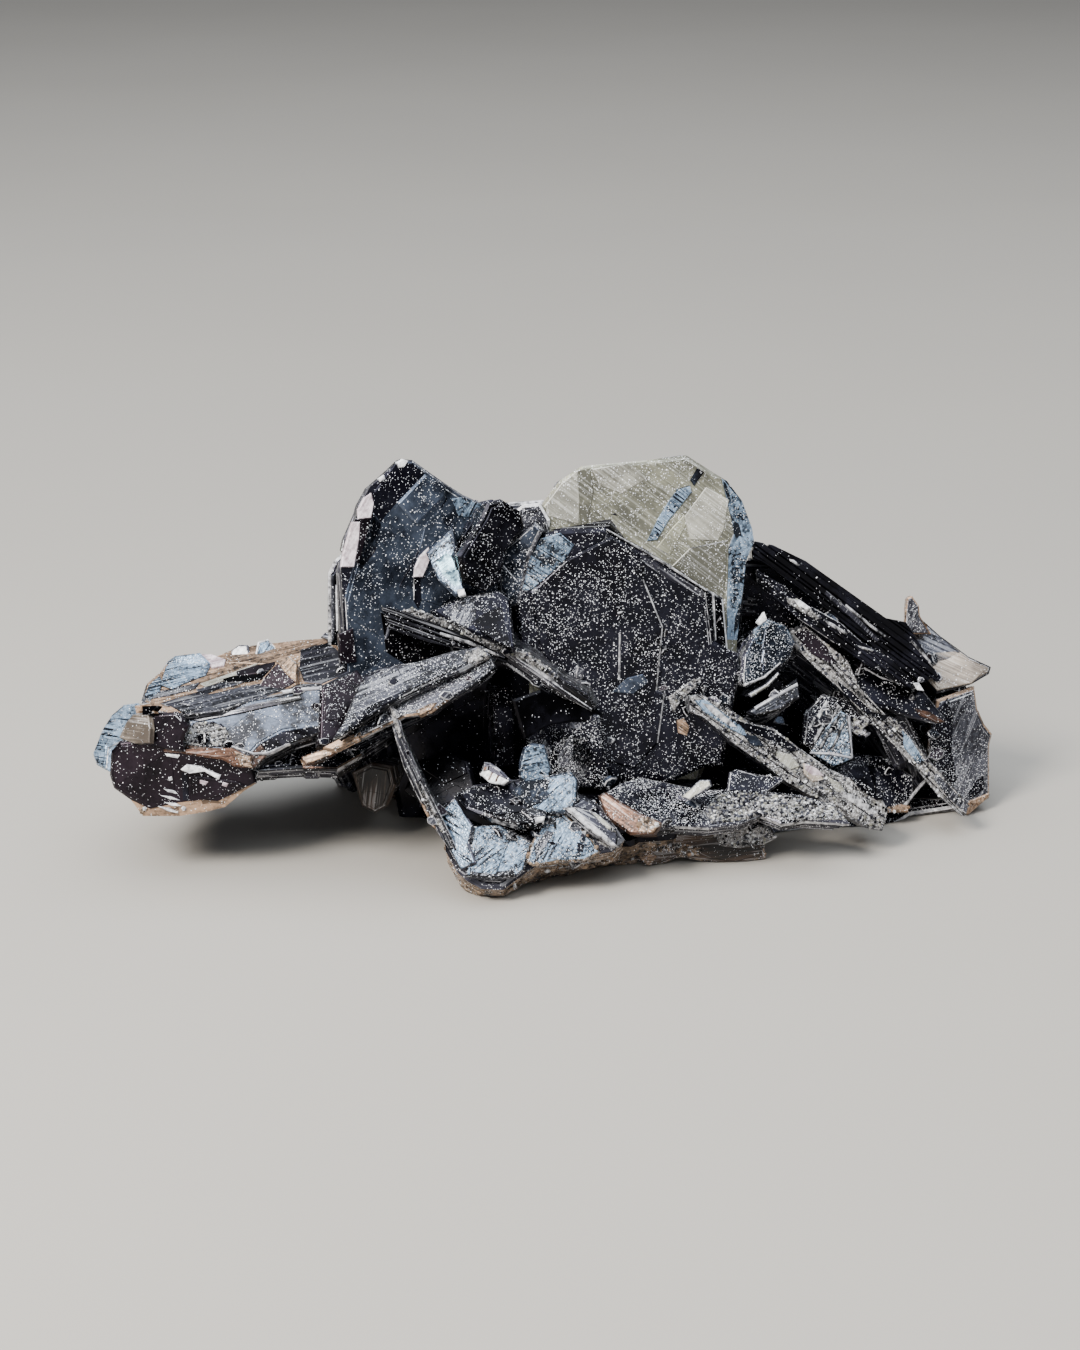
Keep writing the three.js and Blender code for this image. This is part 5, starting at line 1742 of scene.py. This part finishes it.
class FilmTree:
    """Draws one film as a tree of nodes."""

    def __init__(self, finish: Finish) -> None:
        """Makes the material and the coordinates that all patterns share.

        Args:
            finish: how the film looks.
        """
        self.finish = finish
        self.material = new_material(finish.film.value)
        self.tree = self.material.node_tree
        self.grain = add(self.tree, "UVMap", {}, uv_map="grain")["UV"]
        place = add(self.tree, "TexCoord", {})["Object"]
        self.in_mm = add(self.tree, "VectorMath", {0: place, 1: (TO_MM,) * 3}, operation="MULTIPLY")[0]

    def striations(self, spacing: float, detail: float) -> bpy.types.NodeSocket:
        """Long thin streaks along the grain.

        Args:
            spacing: how far apart they are in millimetres.
            detail: how many times finer ones are laid over them.

        Returns:
            The pattern.
        """
        per_mm = (1 / STRIATION_LENGTH_MM, 1 / spacing, 1)
        at = add(self.tree, "VectorMath", {0: self.grain, 1: per_mm}, operation="MULTIPLY")[0]
        streaks = {"Vector": at, "Scale": 1, "Detail": detail, "Roughness": 0.6}
        return add(self.tree, "TexNoise", streaks, noise_dimensions="2D")["Fac"]

    def specks(self, spacing: float, share: bpy.types.NodeSocket) -> bpy.types.NodeSocket:
        """Ragged specks, one in a share of the cells.

        Args:
            spacing: size of a cell in millimetres.
            share: how many cells hold one, from 0 to 1.

        Returns:
            How bright the speck is, zero outside.
        """
        tree = self.tree
        ragged = add(tree, "TexNoise", {"Vector": self.in_mm, "Scale": 1 / RAGGED_MM, "Detail": 1})
        push = {0: ragged["Color"], 1: (spacing * SPECK_BEND,) * 3, 2: self.in_mm}
        bent = add(tree, "VectorMath", push, operation="MULTIPLY_ADD")[0]
        cells = add(tree, "TexVoronoi", {"Vector": bent, "Scale": 1 / spacing})
        chance = add(tree, "SeparateColor", {0: cells["Color"]})
        near = add(tree, "Math", {0: cells["Distance"], 1: SPECK_REACH}, operation="LESS_THAN")[0]
        held = add(tree, "Math", {0: chance[0], 1: share}, operation="LESS_THAN")[0]
        bright = self.summed((chance[1], 0, 1, DIMMEST_SPECK, 1))
        shown = add(tree, "Math", {0: near, 1: bright}, operation="MULTIPLY")[0]
        return add(tree, "Math", {0: shown, 1: held}, operation="MULTIPLY")[0]

    def summed(self, *rows: tuple[Any, float, float, float, float]) -> bpy.types.NodeSocket:
        """Adds up patterns, each mapped from one range to another.

        Args:
            rows: a pattern, its range, and the range that it is brought to.

        Returns:
            The sum.
        """
        total: Any = None
        for pattern, low, high, least, most in rows:
            ends = {"Value": pattern, "From Min": low, "From Max": high, "To Min": least, "To Max": most}
            mapped = add(self.tree, "MapRange", ends)[0]
            total = mapped if total is None else add(self.tree, "Math", {0: total, 1: mapped})[0]
        return total

    def draw(self) -> bpy.types.Material:
        """Links the patterns to the surface.

        Returns:
            The finished material.
        """
        f, tree = self.finish, self.tree
        tone, dust = (add(tree, "Attribute", {}, attribute_name=name)["Fac"] for name in ("tone", "dust"))
        lines, bands = self.striations(STRIATION_MM, 2), self.striations(BAND_MM, 1)
        both = add(tree, "Mix", {0: BAND_SHARE, 2: lines, 3: bands}, data_type="FLOAT")[0]
        cloud = {"Vector": self.in_mm, "Roughness": 0.65}
        blotches = add(tree, "TexNoise", cloud | {"Scale": 1 / f.blotch, "Detail": 4})["Fac"]
        patches = add(tree, "TexNoise", cloud | {"Scale": 1 / PATCH_MM, "Detail": 2})["Fac"]
        grit = add(tree, "TexVoronoi", {"Vector": self.in_mm, "Scale": 1 / GRIT_MM})
        chance = add(tree, "SeparateColor", {0: grit["Color"]})[0]
        share = self.summed((both, *STRIPE_SPAN, 0, f.stripe), (blotches, *BLOTCH_SPAN, 0, f.mottle),
                            (tone, -1, 1, *TONE_SHIFT), (chance, 0, 1, -f.grit / 2, f.grit / 2))
        settled = self.summed((patches, *PATCH_SPAN, *(part * f.specks for part in PATCH_SHARES)))
        settled = add(tree, "Math", {0: settled, 1: dust}, operation="MULTIPLY")[0]
        coarse, fine = self.specks(COARSE_SPECK_MM, settled), self.specks(FINE_SPECK_MM, settled)
        speck = add(tree, "Math", {0: coarse, 1: fine}, operation="MAXIMUM")[0]
        rubbed = self.summed((lines, *RUBBED_SPAN, 0, abs(f.lines) * RUBBED_STRENGTH))
        line_colour = SPECK_COLOUR if f.lines > 0 else f.dark
        colour: Any = linear(f.dark)
        for amount, over in ((share, f.light), (rubbed, line_colour), (speck, SPECK_COLOUR)):
            colour = add(tree, "Mix", {0: amount, 6: colour, 7: linear(over)}, data_type="RGBA")[2]
        metallic = self.summed((speck, 0, 1, f.metallic, 0))
        matt = self.summed((blotches, *BLOTCH_SPAN, *(f.roughness + shift for shift in MATT_SHIFT)),
                           (speck, 0, 1, 0, SPECK_MATT))
        height = self.summed((both, 0, 1, 0, 1), (speck, 0, 1, 0, SPECK_HEIGHT),
                             (grit["Distance"], 0, GRIT_REACH, f.grit, 0))
        relief = {"Height": height, "Strength": BUMP, "Distance": f.relief * MM}
        shader = add(tree, "BsdfPrincipled", {"Base Color": colour, "Metallic": metallic, "Roughness": matt,
                                              "Normal": add(tree, "Bump", relief)[0]})[0]
        add(tree, "OutputMaterial", {"Surface": shader})
        return self.material


@dataclass(frozen=True)
class Studio:
    """A plain pale floor under plain soft light, and the eye of the drawing."""

    floor_size: float = 6.0
    floor_drop: float = 0.0002
    floor_colours: tuple[str, str] = ("#9A958E", "#9F9A93")
    floor_roughness: float = 0.8
    clouds: float = 9  # clouds in a metre of the floor's paint
    room_colour: str = "#8B9098"
    room_light: float = 0.5
    lit_height: float = 0.02
    # name, turn and height in degrees, distance, two sides in metres, watts, linear colour
    lamps: tuple[tuple[Any, ...], ...] = (
        ("overhead_softbox", 0, 84, 0.8, 1.2, 1.4, 21.0, (0.88, 0.94, 1.0)),
        ("front_panel", -12, 10, 1.1, 1.2, 0.5, 2.0, (0.95, 0.97, 1.0)),
        ("key_softbox", -42, 44, 0.8, 0.25, 0.25, 14.0, (1.0, 0.96, 0.9)),
    )

    def camera(self) -> None:
        """Puts the camera where the drawing is looked at from."""
        data = bpy.data.cameras.new("camera")
        data.sensor_width = data.sensor_height = SENSOR_MM
        data.lens = SENSOR_MM * EYE_DISTANCE / (DRAWING_HEIGHT * UNIT)
        made = placed("camera", data)
        made.location = (EYE + ORIGIN_SHIFT) * MM
        made.rotation_euler = (math.radians(90 - EYE_ELEVATION), 0, 0)
        bpy.context.scene.camera = made

    def floor(self) -> None:
        """Lays the floor, a painted board with a faint cloudiness in its paint."""
        half, z = self.floor_size / 2, -self.floor_drop
        mesh = bpy.data.meshes.new("studio_floor")
        mesh.from_pydata([(-half, -half, z), (half, -half, z), (half, half, z), (-half, half, z)], [],
                         [(0, 1, 2, 3)])
        material = new_material("painted_board")
        tree = material.node_tree
        place = add(tree, "TexCoord", {})["Object"]
        paint = add(tree, "TexNoise", {"Vector": place, "Scale": self.clouds})["Fac"]
        first, second = (linear(code) for code in self.floor_colours)
        colour = add(tree, "Mix", {0: paint, 6: first, 7: second}, data_type="RGBA")[2]
        shader = add(tree, "BsdfPrincipled", {"Base Color": colour, "Roughness": self.floor_roughness})[0]
        add(tree, "OutputMaterial", {"Surface": shader})
        mesh.materials.append(material)
        made = placed("studio_floor", mesh)

    def lights(self) -> None:
        """Hangs the soft boxes and sets the room's dim glow."""
        for name, turn, tip, distance, wide, tall, watts, colour in self.lamps:
            data = bpy.data.lights.new(name, "AREA")
            data.shape, data.size, data.size_y = "RECTANGLE", wide, tall
            data.energy, data.color = watts, colour
            made, way = placed(name, data), facing(turn, tip)
            made.location = way * distance + Vector((0, 0, self.lit_height))
            made.rotation_euler = way.to_track_quat("Z", "Y").to_euler()
        world = bpy.data.worlds.new("room")
        world.use_nodes = True
        shade = world.node_tree.nodes["Background"]
        shade.inputs["Color"].default_value = linear(self.room_colour)
        shade.inputs["Strength"].default_value = self.room_light
        bpy.context.scene.world = world


def main() -> None:
    """Builds the specimen and its studio."""
    logging.basicConfig(level=logging.INFO, format="%(message)s")
    studio = Studio()
    studio.camera()
    finishes = {finish.film: FilmTree(finish).draw() for finish in FINISHES}
    whole = Mass("whole")
    groups = (CrownPlates(), TallPlates(), LeftWing(), FrontFoot(), HollowCrystals(), BaseSlabs(),
              RightBlades(), RearPlates(), BrokenBase())
    for group in groups:
        gathered = group.mass()
        gathered.piece(finishes)
        whole.join(gathered)
    tablets = (BLACK, BLACK, LEAVES, STEEL, GREY, PURPLE)
    plates = SmallPlates("small_plates", tablets, 260, 0.8, 3.2, seed=7, highest=34, tries=100, skew=2)
    small = plates.mass(whole)
    small.piece(finishes)
    whole.join(small)
    dust = (SPAR, SPAR, EDGE)
    crust = (SPAR, CREAM, GREY, GREY, LEAVES, BLACK, CRUST, CRUST)
    crumbs = (ROCK, ROCK, TAN, SPAR)
    scatters = (
        Grains("dust_grains", dust, 34000, 0.08, 0.23, seed=11),
        Grains("crust_grains", crust, 7000, 0.12, 0.6, seed=12, only=(CRUST,), flatness=0.3),
        Grains("rim_crumbs", crumbs, 2200, 0.3, 1.1, seed=13, highest=12, only=(ROCK, TAN)),
    )
    for scatter in scatters:
        scatter.mass(whole).piece(finishes)
    studio.floor()
    studio.lights()


if __name__ == "__main__":
    main()
